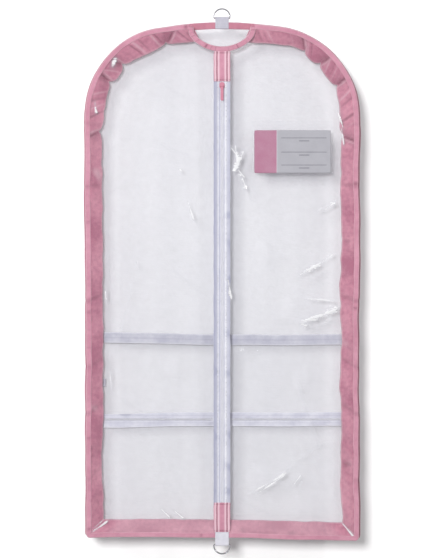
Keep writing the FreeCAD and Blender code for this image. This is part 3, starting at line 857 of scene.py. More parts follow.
@dataclass(frozen=True)
class Film:
    """Clear vinyl film: a faint haze, a thin gloss, and painted highlights, white glints where the sheet is
    marked with glare or streak.
    """

    name: str
    haze: Color
    cover: float
    gloss: float = 0.30
    roughness: float = 0.10
    # how much the painted highlights add to the film's opacity
    kinks: float = 0.85

    def material(self) -> Material:
        """The film's material.

        Returns:
            The material.
        """
        made, tree, shader, coordinate = new_material(self.name)
        mark = tree.mark("glare")
        drawn = tree.add("ShaderNodeMapping")
        drawn.inputs["Rotation"].default_value = (0.0, math.radians(35), 0.0)
        drawn.inputs["Scale"].default_value = (0.30, 1.0, 1.25)
        tree.join(coordinate.outputs["Object"], drawn.inputs["Vector"])
        kink = tree.group(EFFECTS.crinkle, drawn.outputs["Vector"], Scale=62.0, Sharp=9.0)
        fine = tree.group(EFFECTS.crinkle, drawn.outputs["Vector"], Scale=190.0, Sharp=5.0)
        tone = tree.group(EFFECTS.mottle, coordinate.outputs["Object"], Broad=7.0, Fine=60.0).outputs["Tone"]
        # Painted highlights: where the glare mark is high, thin crinkle lines turn white and more opaque, and
        # the streak mark whitens on its own.
        faint = tree.math("MULTIPLY", fine.outputs["Ridge"], 0.55)
        lines = tree.math("MAXIMUM", kink.outputs["Ridge"], faint)
        spots = tree.spread(tree.math("MULTIPLY", mark, tree.math("ADD", lines, 0.22)), 0.34, 0.62, (0, 1))
        crest = tree.math("MAXIMUM", spots, tree.math("MULTIPLY", mark, 0.30))
        crest = tree.math("MAXIMUM", crest, tree.spread(tree.mark("streak"), 0.38, 0.72, (0, 0.95)))
        tree.join(tree.blend(crest, self.haze, (0.98, 0.98, 1.0)), shader.inputs["Base Color"])
        cover = tree.spread(tone, 0.3, 0.7, (self.cover * 0.85, self.cover * 1.15))
        tree.join(tree.math("MULTIPLY_ADD", crest, self.kinks, cover, clamp=True), shader.inputs["Alpha"])
        shader.inputs["Metallic"].default_value = self.gloss
        shader.inputs["Roughness"].default_value = self.roughness
        shader.inputs["IOR"].default_value = 1.45
        height = tree.math("MULTIPLY_ADD", kink.outputs["Swell"], 0.8, fine.outputs["Swell"])
        tree.join(tree.bump(height, 0.35, 1.2 * MM), shader.inputs["Normal"])
        return made


@dataclass(frozen=True)
class Metal:
    """Plated or enamelled metal with faint scuffs."""

    name: str
    colour: Color
    worn: Color
    metallic: float
    roughness: float
    coat: float = 0.0

    def material(self) -> Material:
        """The metal's material.

        Returns:
            The material.
        """
        made, tree, shader, coordinate = new_material(self.name)
        place = coordinate.outputs["Object"]
        tone = tree.group(EFFECTS.mottle, place, Broad=120.0, Fine=900.0).outputs["Tone"]
        scuffs = tree.spread(tone, 0.55, 0.75, (0, 1))
        tree.join(tree.blend(scuffs, self.colour, self.worn), shader.inputs["Base Color"])
        rough = tree.spread(tone, 0.3, 0.7, (self.roughness * 0.7, self.roughness * 1.5))
        tree.join(rough, shader.inputs["Roughness"])
        shader.inputs["Metallic"].default_value = self.metallic
        shader.inputs["Coat Weight"].default_value = self.coat
        tree.join(tree.bump(tone, 0.2, 0.1 * MM), shader.inputs["Normal"])
        return made


@dataclass(frozen=True)
class Printed:
    """A printed card: a coloured band, a pale gap, a grey field with rules and a short bar under each."""

    name: str
    low: Array
    high: Array
    band: Color = (0.40, 0.16, 0.25)
    gap: Color = (0.56, 0.53, 0.58)
    field_: Color = (0.37, 0.365, 0.40)
    ink: Color = (0.10, 0.10, 0.12)
    band_end: float = 41.5 * MM
    gap_end: float = 42.4 * MM
    rule_from: float = 50 * MM
    rule_to: float = 134 * MM
    rule_drops: tuple[float, ...] = (14.2 * MM, 40.5 * MM, 64.5 * MM)
    rule_height: float = 0.55 * MM
    bar_from: float = 83 * MM
    bar_to: float = 102 * MM
    bar_drop: float = 5.5 * MM
    bar_height: float = 1.8 * MM

    def material(self) -> Material:
        """The card's material, its print placed on object coordinates from the card's top left corner.

        Returns:
            The material.
        """
        made, tree, shader, coordinate = new_material(self.name)
        parts = tree.add("ShaderNodeSeparateXYZ")
        tree.join(coordinate.outputs["Object"], parts.inputs[0])
        across = tree.math("SUBTRACT", parts.outputs[0], float(self.low[0]))
        down = tree.math("SUBTRACT", float(self.high[2]), parts.outputs[2])

        def within(value: Socket, start: float, end: float) -> Socket:
            """1 between start and end, else 0."""
            middle, half = (start + end) / 2, (end - start) / 2
            return tree.math("COMPARE", value, middle, half)

        lines = []
        for drop in self.rule_drops:
            rule = tree.math(
                "MULTIPLY",
                within(across, self.rule_from, self.rule_to),
                within(down, drop - self.rule_height, drop + self.rule_height),
            )
            under = drop + self.bar_drop
            bar = tree.math(
                "MULTIPLY",
                within(across, self.bar_from, self.bar_to),
                within(down, under - self.bar_height / 2, under + self.bar_height / 2),
            )
            lines.append(tree.math("MAXIMUM", rule, tree.math("MULTIPLY", bar, 0.8)))
        marks = lines[0]
        for line in lines[1:]:
            marks = tree.math("MAXIMUM", marks, line)
        place = coordinate.outputs["Object"]
        tone = tree.group(EFFECTS.mottle, place, Broad=40.0, Fine=400.0).outputs["Tone"]
        base = tree.blend(tree.math("GREATER_THAN", across, self.gap_end), self.gap, self.field_)
        layers = [
            (tree.math("LESS_THAN", across, self.band_end), self.band, 1.0),
            (marks, self.ink, 0.85),
            (tree.spread(tone, 0.35, 0.75, (0, 1)), (0.9, 0.9, 0.95), 0.10),
        ]
        for mask, colour, share in layers:
            base = tree.over(base, tree.math("MULTIPLY", mask, share), colour)
        tree.join(base, shader.inputs["Base Color"])
        tree.join(tree.spread(tone, 0.3, 0.7, (0.45, 0.30)), shader.inputs["Roughness"])
        return made


# ---------------------------------------------------------------- dressing and hooking up


def dress(piece: Piece, material: Material, slot: str, *nodes: str) -> Piece:
    """Give a piece its material and hide the CAD nodes it stands for.

    Args:
        piece: the piece.
        material: its material.
        slot: the record's slot; not used.
        nodes: CAD nodes that it stands for.

    Returns:
        The piece.
    """
    piece.data.materials.append(material)
    if nodes:
        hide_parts(*nodes)
    LOG.info("%s: %d faces", piece.name, len(piece.data.polygons))
    return piece


def over_fold(piece: Piece) -> Piece:
    """Bake a piece's placement into its mesh."""
    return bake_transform(piece)


def halves(stem: str) -> tuple[str, str]:
    """The CAD nodes of a strip that is cut at the fold line."""
    return f"{stem}_upper", f"{stem}_lower"


def finish(kind: "Cloth | Film | Metal") -> Material:
    """A field whose usual value is the material made from a finish."""
    return field(default_factory=kind.material)


@dataclass
class Finishes:
    """Every material of the bag."""

    front_film: Material = finish(Film("clear_vinyl_front", (0.72, 0.72, 0.80), 0.05))
    back_film: Material = finish(Film(
        "clear_vinyl_back", (0.74, 0.74, 0.79), 0.54, gloss=0.06, roughness=0.25,
    ))
    pocket_film: Material = finish(Film("clear_vinyl_pocket", (0.95, 0.95, 1.0), 0.05, gloss=0.04))
    nylon: Material = finish(Cloth(
        "pink_nylon", (0.77, 0.33, 0.44), (0.50, 0.155, 0.25), 0.38, 0.35, relief=0.45 * MM, broad=15.0,
        crumple=1.6,
    ))
    binding: Material = finish(Cloth(
        "pink_binding", (0.66, 0.32, 0.42), (0.55, 0.24, 0.33), 0.5, 0.4, 0.9 * MM, 1.2 * MM, 0.3 * MM,
        crumple=0.9,
    ))
    # the binding cloth again, darker: painted shade for the back binding, which lies behind the front one
    shaded_rear_binding: Material = finish(Cloth(
        "pink_binding_rear_shaded", (0.58, 0.24, 0.315), (0.49, 0.185, 0.26), 0.5, 0.4, 0.9 * MM, 1.2 * MM,
        0.3 * MM, crumple=0.9,
    ))
    thread: Material = finish(Cloth("pink_thread", (0.70, 0.36, 0.43), (0.62, 0.30, 0.37), 0.6, 0.3))
    white_thread: Material = finish(Cloth(
        "white_thread", (0.74, 0.74, 0.80), (0.66, 0.66, 0.73), 0.6, 0.3,
    ))
    # The same white webbing in two tones, as painted light: this darker copy is painted shade on the top
    # strap and label, the next a lighter copy for the bottom strap.
    webbing: Material = finish(Cloth(
        "white_webbing", (0.58, 0.57, 0.65), (0.47, 0.46, 0.54), 0.6, 0.4, 1.8 * MM, 1.3 * MM, 0.5 * MM,
    ))
    lower_webbing: Material = finish(Cloth(
        "white_webbing_lower", (0.80, 0.79, 0.86), (0.68, 0.67, 0.75), 0.6, 0.4, 1.8 * MM, 1.3 * MM,
        0.5 * MM,
    ))
    tape: Material = finish(Cloth(
        "white_tape", (0.78, 0.78, 0.84), (0.66, 0.66, 0.74), 0.6, 0.3, 1.0 * MM, 1.4 * MM, 0.3 * MM,
        broad=45.0, painted_shade=(0.36, 0.37, 0.50), depth=0.95, pale=(0.97, 0.97, 1.0),
    ))
    satin: Material = finish(Cloth(
        "white_satin", (0.64, 0.64, 0.72), (0.50, 0.50, 0.60), 0.42, 0.3, 0.5 * MM, 1.6 * MM, 0.3 * MM,
        broad=40.0, painted_shade=(0.34, 0.34, 0.44), depth=0.7, pale=(0.80, 0.80, 0.86),
    ))
    band_tape: Material = finish(Cloth(
        "white_band_tape", (0.72, 0.72, 0.80), (0.58, 0.58, 0.68), 0.55, 0.3, 1.0 * MM, 1.4 * MM,
        0.3 * MM, broad=40.0, painted_shade=(0.38, 0.38, 0.48), depth=0.7, pale=(0.85, 0.85, 0.9),
    ))
    coil: Material = finish(Metal("white_coil", (0.84, 0.84, 0.90), (0.90, 0.90, 0.94), 0.0, 0.35, 0.3))
    chrome: Material = finish(Metal("chromed_steel", (0.78, 0.78, 0.82), (0.60, 0.60, 0.64), 1.0, 0.14))
    pink_enamel: Material = finish(Metal(
        "pink_enamel", (0.56, 0.22, 0.30), (0.66, 0.33, 0.40), 0.0, 0.32, 0.6,
    ))
    white_enamel: Material = finish(Metal(
        "white_enamel", (0.70, 0.70, 0.76), (0.78, 0.78, 0.83), 0.0, 0.32, 0.6,
    ))


# ---------------------------------------------------------------- sub-assemblies


@dataclass
class Panels:
    """The clear front halves and the clear back."""

    outline: Outline
    neck: Neck
    finishes: Finishes
    front_step: float = 1.9 * MM
    back_step: float = 6 * MM
    front_inset: float = 9 * MM
    back_inset: float = 5 * MM
    rise: float = 6 * MM
    slot: float = 7 * MM
    columns: int = 132
    thin: float = 2.0
    # x0, z0, x1, z1, half width, height, glare (strength of the painted highlight), in millimetres apart from
    # the glare
    kinks: tuple[tuple[float, ...], ...] = (
        (18, -239, 34, -262, 4.3, 1.5, 0.9),
        (40, -248, 22, -290, 5.1, 1.8, 1),
        (26, -288, 40, -300, 3.6, 1.2, 0.9),
        (34, -296, 44, -322, 4.3, 1.5, 0.9),
        (-80, -282, -74, -290, 3.6, 1, 0.8),
        (182, -362, 208, -346, 4.0, 1.4, 0.8),
        (140, -482, 186, -458, 4.6, 1.6, 0.85),
        (145, -570, 182, -556, 5.4, 1.9, 1),
        (180, -560, 216, -542, 5.4, 1.9, 1),
        (190, -571, 206, -556, 4.4, 1.6, 0.9),
        (152, -574, 168, -572, 4, 1.5, 0.9),
        (11, -500, 17, -522, 4.2, 1.4, 0.9),
        (-160, -455, -156, -468, 3.6, 1, 0.8),
        (-204, -96, -197, -76, 5.2, 1.6, 1),
        (-236, -158, -232, -182, 3, 1, 0.9),
        (84, -880, 112, -858, 3.4, 1.3, 0.5),
        (204, -148, 222, -200, 4.2, 1.2, 0.5),
        (16, -243, 31, -263, 1.8, 1.2, 1),
        (25, -238, 29, -278, 1.7, 1.2, 1),
        (41, -250, 23, -290, 1.6, 1.2, 1),
        (29, -284, 43, -301, 1.7, 1.2, 1),
        (37, -298, 46, -323, 1.7, 1.2, 1),
        (-64, -343, -52, -380, 1.6, 1.1, 0.9),
        (178, -364, 187, -353, 1.6, 1.1, 1),
        (188, -362, 211, -345, 1.7, 1.2, 1),
        (196, -350, 214, -338, 1.4, 1, 0.8),
        (143, -481, 186, -456, 1.8, 1.3, 1),
        (184, -458, 208, -441, 1.6, 1.2, 0.95),
        (157, -524, 211, -529, 1.6, 1.1, 0.95),
        (162, -520, 178, -516, 1.4, 1, 0.8),
        (146, -567, 190, -552, 1.9, 1.4, 1),
        (176, -560, 218, -541, 1.9, 1.4, 1),
        (192, -548, 205, -534, 1.5, 1, 0.9),
        (150, -580, 156, -577, 1.9, 1, 1),
        (162, -580, 168, -577, 1.9, 1, 1),
        (11, -488, 18, -527, 1.6, 1.2, 1),
        (-219, -505, -216, -528, 1.5, 0.8, 1),
        (47, -889, 125, -843, 1.5, 1.1, 0.9),
        (64, -887, 118, -850, 1.5, 1.1, 1),
        (132, -869, 147, -850, 1.6, 1.1, 1),
        (141, -872, 151, -858, 1.4, 1, 0.9),
        (-114, -914, -96, -932, 1.7, 1.1, 1),
        (-89, -918, -71, -933, 1.8, 1.2, 1),
        (-243, -958, -213, -938, 1.7, 0.8, 1),
        (-240, -951, -222, -936, 1.3, 0.8, 0.9),
        (221, -936, 244, -962, 1.7, 0.8, 1),
        (203, -142, 214, -166, 1.5, 1, 0.9),
        (207, -158, 225, -210, 1.5, 1, 0.95),
        (220, -204, 226, -240, 1.5, 1, 0.85),
        (-212, -640, -207, -700, 1.3, 0.8, 0.7),
        (-165, -488, -178, -545, 2.2, 1, 0.42),
        (-178, -545, -195, -600, 2.2, 1, 0.42),
        (139, -668, 158, -735, 2.2, 1, 0.42),
        (158, -735, 182, -798, 2.2, 1, 0.42),
        (96, -860, 190, -790, 2.2, 0.8, 0.5),
        (60, -404, 118, -452, 2.4, 1, 0.3),
        (-30, -520, -92, -470, 2.4, 1, 0.3),
        (-130, -230, -60, -260, 2.4, 1, 0.28),
        (40, -640, 98, -610, 2.4, 1, 0.3),
        (-210, -330, -170, -300, 2.4, 1, 0.32),
        (-120, -120, -70, -150, 2.4, 1, 0.28),
        (110, -120, 160, -95, 2.4, 1, 0.3),
        (-205, -700, -150, -735, 2.4, 1, 0.3),
        (40, -900, 90, -925, 2.4, 1, 0.3),
    )

    def relief(self, x: Array, z: Array) -> tuple[Array, Array, Array]:
        """Kinks and swells of the front film.

        Each kink is a ridge along a segment: a bell of the distance to it, tapered at both ends. The
        swells are broad ripples. Both fade at the seams and lie flat where the card slides.

        Args:
            x: across.
            z: up.

        Returns:
            How far the film stands forward, in metres, and the strength of its painted highlights, broad
            glare and thin streaks, both from 0 to 1.
        """
        high, glare, streak = np.zeros(x.shape), np.zeros(x.shape), np.zeros(x.shape)
        for x0, z0, x1, z1, width, height, shine in self.kinks:
            way = np.array([x1 - x0, z1 - z0]) * MM
            length = float(np.hypot(*way))
            along = ((x - x0 * MM) * way[0] + (z - z0 * MM) * way[1]) / length
            aside = np.abs((x - x0 * MM) * way[1] - (z - z0 * MM) * way[0]) / length
            thin = width < self.thin
            aside = aside + (0.5 if thin else 1.2) * MM * np.sin(along / (0.006 + 0.2 * width * MM))
            taper = smooth(along, -0.006, 0.006) * smooth(along, length + 0.006, length - 0.006)
            high = high + height * MM * np.exp(-((aside / (width * MM)) ** 2)) * taper
            # painted highlight along the kink; kinks narrower than thin also count as streaks
            shown = shine * np.exp(-((aside / (1.1 * width * MM)) ** 2)) * taper
            glare = np.maximum(glare, shown)
            streak = np.maximum(streak, shown * thin)
        swell = 0.9 * MM * ripples(x, z, 11, 0.16) + 0.35 * MM * ripples(x, z, 12, 0.045)
        edge = smooth(np.abs(x), 0.016, 0.045) * smooth(self.inside(x, z), 0.016, 0.05)
        card = smooth(x, 0.044, 0.054) * smooth(x, 0.218, 0.208)
        card = card * smooth(z, -0.312, -0.302) * smooth(z, -0.118, -0.128)
        # painted highlight along the film's edge at the zipper slot
        slot = 0.62 * bell(np.abs(x), self.slot, 1.9 * MM) * smooth(z, -0.10, -0.13)
        rise = (high + swell) * edge * (1 - 0.94 * card)
        return rise, np.maximum(glare * (1 - card), slot), streak * (1 - card)

    def inside(self, x: Array, z: Array) -> Array:
        """About how far inside the outline a place is."""
        side = self.outline.half_width - np.abs(x)
        bottom = z - self.outline.bottom
        centre_x = np.abs(x) - self.outline.shoulder_x
        arc = self.outline.shoulder_radius - np.hypot(np.maximum(centre_x, 0), z - self.outline.shoulder_z)
        top = self.outline.top_radius - np.hypot(x, z - self.outline.top_centre)
        upper = np.where(centre_x > 0, np.where(z > self.outline.shoulder_z, arc, side), top)
        return np.minimum(np.minimum(upper, side), bottom)

    def front(self, side: int) -> Piece:
        """One clear half of the front, from the zipper and neck out to the binding.

        Rows run level from the inner edge to a stop of the outline, so the film follows both.

        Args:
            side: 1 for the right half, -1 for the left.

        Returns:
            The piece.
        """
        stops = self.outline.stations(self.front_step)
        keep = stops.part < 4
        stops = Stations(stops.part[keep], stops.share[keep])
        edge = self.outline.half(stops, self.front_inset, self.rise, self.neck.half_width + 6 * MM)
        inner = self.neck.side_at(edge[:, 1], 5 * MM, self.slot)
        share = np.linspace(0, 1, self.columns)
        x = inner[:, None] + (edge[:, 0] - inner)[:, None] * share
        z = np.repeat(edge[:, 1:], self.columns, axis=1)
        x = x * side
        rise, glare, streak = self.relief(x, z)
        grid = lie(np.stack([x, FRONT_Y - rise, z], -1))
        name = "front_film_right" if side > 0 else "front_film_left"
        stem = "front_panel_right" if side > 0 else "front_panel_left"
        piece = open_sheet(name, grid, Facing.FRONT, {"glare": glare, "streak": streak})
        dress(piece, self.finishes.front_film, "clear_vinyl", *halves(stem))
        over_fold(piece)
        return piece

    def back(self) -> Piece:
        """The clear back, one level row from edge to edge at each stop of the outline.

        Returns:
            The piece.
        """
        stops = self.outline.stations(self.back_step)
        keep = stops.part < 4
        stops = Stations(stops.part[keep], stops.share[keep])
        edge = self.outline.half(stops, self.back_inset, self.rise, 6 * MM)
        share = np.linspace(-1, 1, 87)
        x = edge[:, :1] * share
        z = np.repeat(edge[:, 1:], len(share), axis=1)
        fade = smooth(self.inside(x, z), 0.016, 0.05) * smooth(np.abs(x), 0.016, 0.05)
        rise = (0.6 * MM * ripples(x, z, 21, 0.19) + 0.25 * MM * ripples(x, z, 22, 0.06)) * fade
        # painted highlights in broad patches on the back film
        glare = 0.34 * smooth(ripples(x, z, 23, 0.10), 0.9, 1.9) * fade
        piece = open_sheet("back_film", lie(np.stack([x, rise, z], -1)), Facing.BACK, {"glare": glare})
        dress(piece, self.finishes.back_film, "clear_vinyl", *halves("back_panel"))
        over_fold(piece)
        return piece

    def build(self) -> None:
        """Both front halves and the back."""
        self.front(1)
        self.front(-1)
        self.back()


@dataclass
class Trim:
    """The folded pink gusset and the bindings round the front, the back and the neck."""

    outline: Outline
    neck: Neck
    finishes: Finishes
    step: float = 3.2 * MM
    gusset_step: float = 2.4 * MM
    fold_inset: float = 36 * MM
    fold_rise: float = 34 * MM
    fold_y: float = -12 * MM
    cloth: float = 0.35 * MM
    front_width: float = 9.4 * MM
    back_width: float = 12.5 * MM
    neck_width: float = 10.2 * MM
    shrink: float = 13 * MM
    thread: Thread = field(default_factory=Thread)
    # for each side: x, z of a gather, bulge up to the next one, lean of its crease, in millimetres
    gathers: tuple[tuple[tuple[float, float, float, float], ...], ...] = (
        (
            (-105.8, -46.4, 10.0, 22.0),
            (-187.5, -87.2, 8.0, -12.0),
            (-220.9, -115.0, 5.0, 8.0),
            (-224.6, -213.4, 0.0, -12.0),
        ),
        (
            (157.8, -53.8, 6.0, -20.0),
            (191.0, -78.0, 5.0, 9.0),
            (209.7, -128.0, 4.5, -8.0),
            (228.3, -220.9, 0.0, 12.0),
        ),
    )
    pinches: tuple[tuple[float, float], ...] = (
        (-0.3155, 1.0),
        (-0.529, 1.2),
        (-0.651, 0.9),
        (-0.738, 1.1),
        (-0.200, 0.7),
        (-0.860, 0.7),
    )

    def pinch(self, z: Array) -> Array:
        """Short dents across the side trim, from 0 to about 1."""
        total = np.zeros_like(z)
        for middle, depth in self.pinches:
            total = total + depth * bell(z, middle, 4 * MM)
        return total

    def pleated(self, path: Path, run: Array) -> tuple[Array, list[tuple[float, float]]]:
        """Where the gusset is gathered on the shoulders.

        Between two neighbouring gathers the fold bulges inwards by half a sine, and at each one it is
        pulled back in a sharp notch.

        Args:
            path: the run of the gusset.
            run: its running length.

        Returns:
            How much further in the fold lies along the run, and each gather's place and lean.
        """
        line = path.at(self.fold_inset, self.fold_rise)
        bulge, folds = np.zeros_like(run), []
        for gathers in self.gathers:
            spots = [(x * MM, z * MM) for x, z, _, _ in gathers]
            stops = [float(run[np.argmin(np.hypot(line[:, 0] - x, line[:, 1] - z))]) for x, z in spots]
            for k, (stop, (_, _, height, lean)) in enumerate(zip(stops, gathers)):
                folds.append((stop, lean * MM))
                bulge = bulge - 4.6 * MM * np.exp(-np.abs(run - stop) / (4.5 * MM))
                if k + 1 < len(stops):
                    t = np.clip((run - stop) / (stops[k + 1] - stop), 0, 1)
                    bulge = bulge + height * MM * np.sin(math.pi * t) ** 0.7
        return bulge, folds

    def gusset(self) -> Piece:
        """The gusset, folded inwards in a V all round and mitred at the bottom corners.

        Its profile goes from the front seam in to the fold and out to the rear seam, with a slight
        billow. The fold's edge wanders, with scallops and pleats on the shoulders. Its crease marks
        carry painted shade in and beside the folds, mitres, pinches and ripples, and its rim marks
        painted highlights beside them, along the fold's edge and along the bottom.

        Returns:
            The piece.
        """
        path = self.outline.around(self.gusset_step, 56 * MM)
        run = path.run()
        edge = path.at(0.0, 0.0)
        side = smooth(edge[:, 1], -0.15, -0.21) * smooth(edge[:, 1], -0.955, -0.92)
        bulge, folds = self.pleated(path, run)
        wander = waves(run, 31, 0.11) * 1.3 * MM + waves(run, 32, 0.035) * 0.5 * MM
        fold = self.fold_inset + wander + bulge
        fold = fold + np.where(edge[:, 0] > 0, 1.5, -0.5) * side * MM
        rise = self.fold_rise + 0.5 * wander
        crush = self.pinch(edge[:, 1]) * side
        share = np.linspace(0, 1, 31)
        stops = [0, 0.12, 0.5, 0.84, 1]
        depth = np.interp(share, stops, [0.0, 0.26, 1.0, 0.28, 0.0])
        depth = np.convolve(np.pad(depth, 1, mode="edge"), [0.25, 0.5, 0.25], "valid")
        y = np.interp(share, stops, [-23.5 * MM, -23.45 * MM, self.fold_y, -0.62 * MM, -0.6 * MM])
        first, last = 6.0 * MM, 5.0 * MM
        corners = np.hypot(np.abs(edge[:, 0]) - self.outline.half_width, edge[:, 1] - self.outline.bottom)
        mitres = [run[np.argmin(corners + 10 * (edge[:, 0] * sign < 0))] for sign in (1, -1)]
        low = smooth(edge[:, 1], -0.955, -0.966) * smooth(np.abs(edge[:, 0]), 0.235, 0.20)
        near_end = 1 - smooth(np.minimum(run, run[-1] - run), 0.0, 60 * MM)
        loose = smooth(edge[:, 1], -0.30, -0.17)
        columns, creases, rims = [], [], []
        for d, level, begin in zip(depth, y, np.where(share < 0.5, first, last)):
            place = path.at(begin + (fold - begin) * d, begin + (rise - begin) * d)
            place[:, 0] -= np.sign(place[:, 0]) * near_end * self.shrink * d
            crease, rim = np.zeros_like(run), np.zeros_like(run)
            for stop, lean in folds:
                away = run - stop - lean * (1 - d)
                # crease mark: painted shade in each fold, and a painted shadow fading away on one side of it
                sharp = np.exp(-np.abs(away) / (3.0 * MM))
                shade = 0.78 * np.exp(-np.maximum(-away, 0) / (12 * MM)) * (away < 0)
                crease = np.maximum(crease, np.maximum(sharp, shade * (0.3 + 0.7 * d)))
                # rim mark: painted highlight just past each fold
                rim = np.maximum(rim, 0.55 * bell(away, 5.6 * MM, 1.8 * MM) * (0.4 + 0.6 * d))
            for stop in mitres:
                away = run - stop
                # painted shade in each mitre fold, painted highlight beside it
                crease = np.maximum(crease, 1.0 * np.exp(-np.abs(away) / (2.4 * MM)))
                rim = np.maximum(rim, 0.9 * bell(away, 4.2 * MM, 1.6 * MM))
            fan = waves(run + 24 * MM * (1 - d), 53, 0.021) * loose
            # painted shade and painted highlight on the fanned ripples of the shoulders
            crease = np.maximum(crease, 0.55 * smooth(-fan, 0.35, 1.7))
            rim = np.maximum(rim, 0.36 * smooth(fan, 0.55, 1.8))
            # painted shade on scattered ripples and at the pinches, painted highlight on other ripples
            cross = smooth(ripples(place[:, 0], place[:, 1], 57, 0.05), 1.15, 2.0) * 0.55
            crease = np.maximum(np.maximum(crease, cross), 0.28 * np.clip(crush, 0, 1))
            rim = np.maximum(rim, 0.5 * smooth(ripples(place[:, 0], place[:, 1], 58, 0.06), 1.3, 2.1))
            free = math.sin(math.pi * min(1.0, d)) if d < 1 else 0.0
            tight = 0.75 if d > 0.93 else 0.0
            billow = (0.8 * waves(run + 12 * MM * d, 51, 0.06) + 3.0 * crease - 1.8 * rim) * MM * free
            columns.append(np.stack([place[:, 0], level + billow, place[:, 1]], -1))
            creases.append(np.clip(crease * (0.35 + 0.65 * free), 0, 1))
            # painted highlight also along the fold's edge and along the bottom
            rims.append(np.maximum(rim * (0.4 + 0.6 * free), np.maximum(0.35 * tight, 0.24 * low)))
        grid = np.stack(columns, axis=1)
        grid[..., 1] = np.clip(grid[..., 1], -23.5 * MM, -0.55 * MM)
        marks = {"crease": np.stack(creases, axis=1), "rim": np.stack(rims, axis=1)}
        piece = open_sheet("gusset", lie(grid), Facing.FRONT, marks)
        wall = piece.modifiers.new("cloth", "SOLIDIFY")
        wall.thickness, wall.offset = self.cloth, 0.0
        strips = [*halves("gusset_left"), *halves("gusset_right"), "gusset_bottom"]
        dress(piece, self.finishes.nylon, "pink_nylon", *strips)
        over_fold(piece)
        return piece

    def binding(
        self, name: str, path: Path, inset: float, rise: float, width: float, front: float, back: float,
        nodes: tuple[str, ...],
    ) -> Piece:
        """A folded tape sewn round the edge of a panel.

        Its profile is a flat loop, round at the outer edge, carried along the outline. Puckers between
        stitches and dents at the pinches move its faces. Painted shade darkens scattered spots and the
        dents, and a painted highlight runs along both edges of the front binding.

        Args:
            name: the piece's name.
            path: the run it follows.
            inset: how far in its outer edge is at the sides.
            rise: how far up its outer edge is at the bottom.
            width: how wide it is.
            front: its front face.
            back: its rear face.
            nodes: CAD nodes that it stands for.

        Returns:
            The piece.
        """
        run = path.run()
        edge = path.at(0.0, 0.0)
        across = np.array([0.0, 0.09, 0.22, 0.55, 0.84, 0.95, 1.0, 0.95, 0.84, 0.55, 0.22, 0.09])
        level = np.array([0.0, 0.75, 1.0, 0.92, 0.95, 1.0, 0.35, -0.55, -0.9, -0.85, -0.95, -0.7])
        middle, half = (front + back) / 2, (back - front) / 2
        pucker = waves(run, len(name) + 7, 0.016) * 0.14 + waves(run, len(name) + 8, 0.05) * 0.10
        dent = self.pinch(edge[:, 1])
        wobble = waves(run, len(name) + 9, 0.07) * 0.35 * MM
        # painted highlight along both edges of the front binding, none on the back binding
        pale = 0.0 if name == "back_binding" else 0.22
        # painted shade at scattered spots and at the pinches' dents
        dent_shade = 0.55 * smooth(waves(run, len(name) + 11, 0.022), 1.2, 2.0) + 0.35 * np.clip(dent, 0, 1)
        columns, rims, creases = [], [], []
        for a, l in zip(across, level):
            rims.append(np.full(len(run), pale if a < 0.11 or a > 0.94 else 0.0))
            creases.append(dent_shade * (0.5 + 0.5 * math.sin(math.pi * a)))
            inner = width * a + wobble * a
            place = path.at(inset + inner + 0.5 * MM * dent * (1 - a), rise + inner)
            y = middle - half * l * (1 + pucker * (0.4 + 0.6 * a) - 0.25 * dent)
            columns.append(np.stack([place[:, 0], y, place[:, 1]], -1))
        marks = {"rim": np.stack(rims, axis=1), "crease": np.stack(creases, axis=1)}
        piece = swept(name, lie(np.stack(columns, axis=1)), marks=marks)
        # the back binding takes the darker copy of the binding cloth, as painted shade
        finish = self.finishes.shaded_rear_binding if name == "back_binding" else self.finishes.binding
        dress(piece, finish, "pink_binding", *nodes)
        over_fold(piece)
        return piece

    def seam(
        self, name: str, path: Path, lines: tuple[tuple[float, float], ...], y: float, up: Color
    ) -> None:
        """Stitching along a binding.

        Args:
            name: the piece's name.
            path: the run it follows.
            lines: inset at the sides and rise at the bottom of each line.
            y: the face it stands on.
            up: the way it stands out.
        """
        rows = []
        for inset, rise in lines:
            place = path.at(inset, rise)
            rows.append(lie(np.stack([place[:, 0], np.full(len(place), y), place[:, 1]], -1)))
        piece = self.thread.row(name, rows, up)
        dress(piece, self.finishes.thread, "pink_binding")
        over_fold(piece)

    def neck_tape(self) -> Piece:
        """The binding round the neck opening, gathered into small puckers where it turns, with painted
        shade in the puckers and a painted highlight along both edges.

        Returns:
            The piece.
        """
        low, high = node_box("neck_binding")
        across = np.array([0.0, 0.12, 0.35, 0.65, 0.90, 1.0, 0.90, 0.65, 0.35, 0.12])
        level = np.array([0.0, 0.8, 1.0, 0.9, 1.0, 0.2, -0.8, -0.9, -0.95, -0.7])
        width, middle, half = self.neck_width, (low[1] + high[1]) / 2, (high[1] - low[1]) / 2
        columns, rims, creases = [], [], []
        for a, l in zip(across, level):
            place = self.neck.path(width * a, float(high[2]) - 1.5 * MM, 1.6 * MM)
            run = np.concatenate([[0], np.cumsum(np.linalg.norm(np.diff(place, axis=0), axis=1))])
            run = run / run[-1] * 0.19
            bend = smooth(np.abs(place[:, 0]), 0.02, 0.035)
            pucker = waves(run, 61, 0.008) * (0.10 + 0.22 * bend) * (0.3 + 0.7 * (1 - a))
            edge = place - [0, self.neck.corner_z]
            grow = 1 + 0.006 * waves(run, 62, 0.012) * bend
            x = edge[:, 0] * np.where(np.abs(edge[:, 0]) > 0.03, grow, 1)
            y = middle - half * l * (1 + pucker)
            columns.append(np.stack([x, y, edge[:, 1] + self.neck.corner_z], -1))
            # painted shade in the puckers, more where the tape turns
            pucker_shade = smooth(waves(run, 63, 0.009), 0.45, 1.3) * (0.45 + 0.55 * bend)
            creases.append(pucker_shade * (0.6 + 0.4 * math.sin(math.pi * a)))
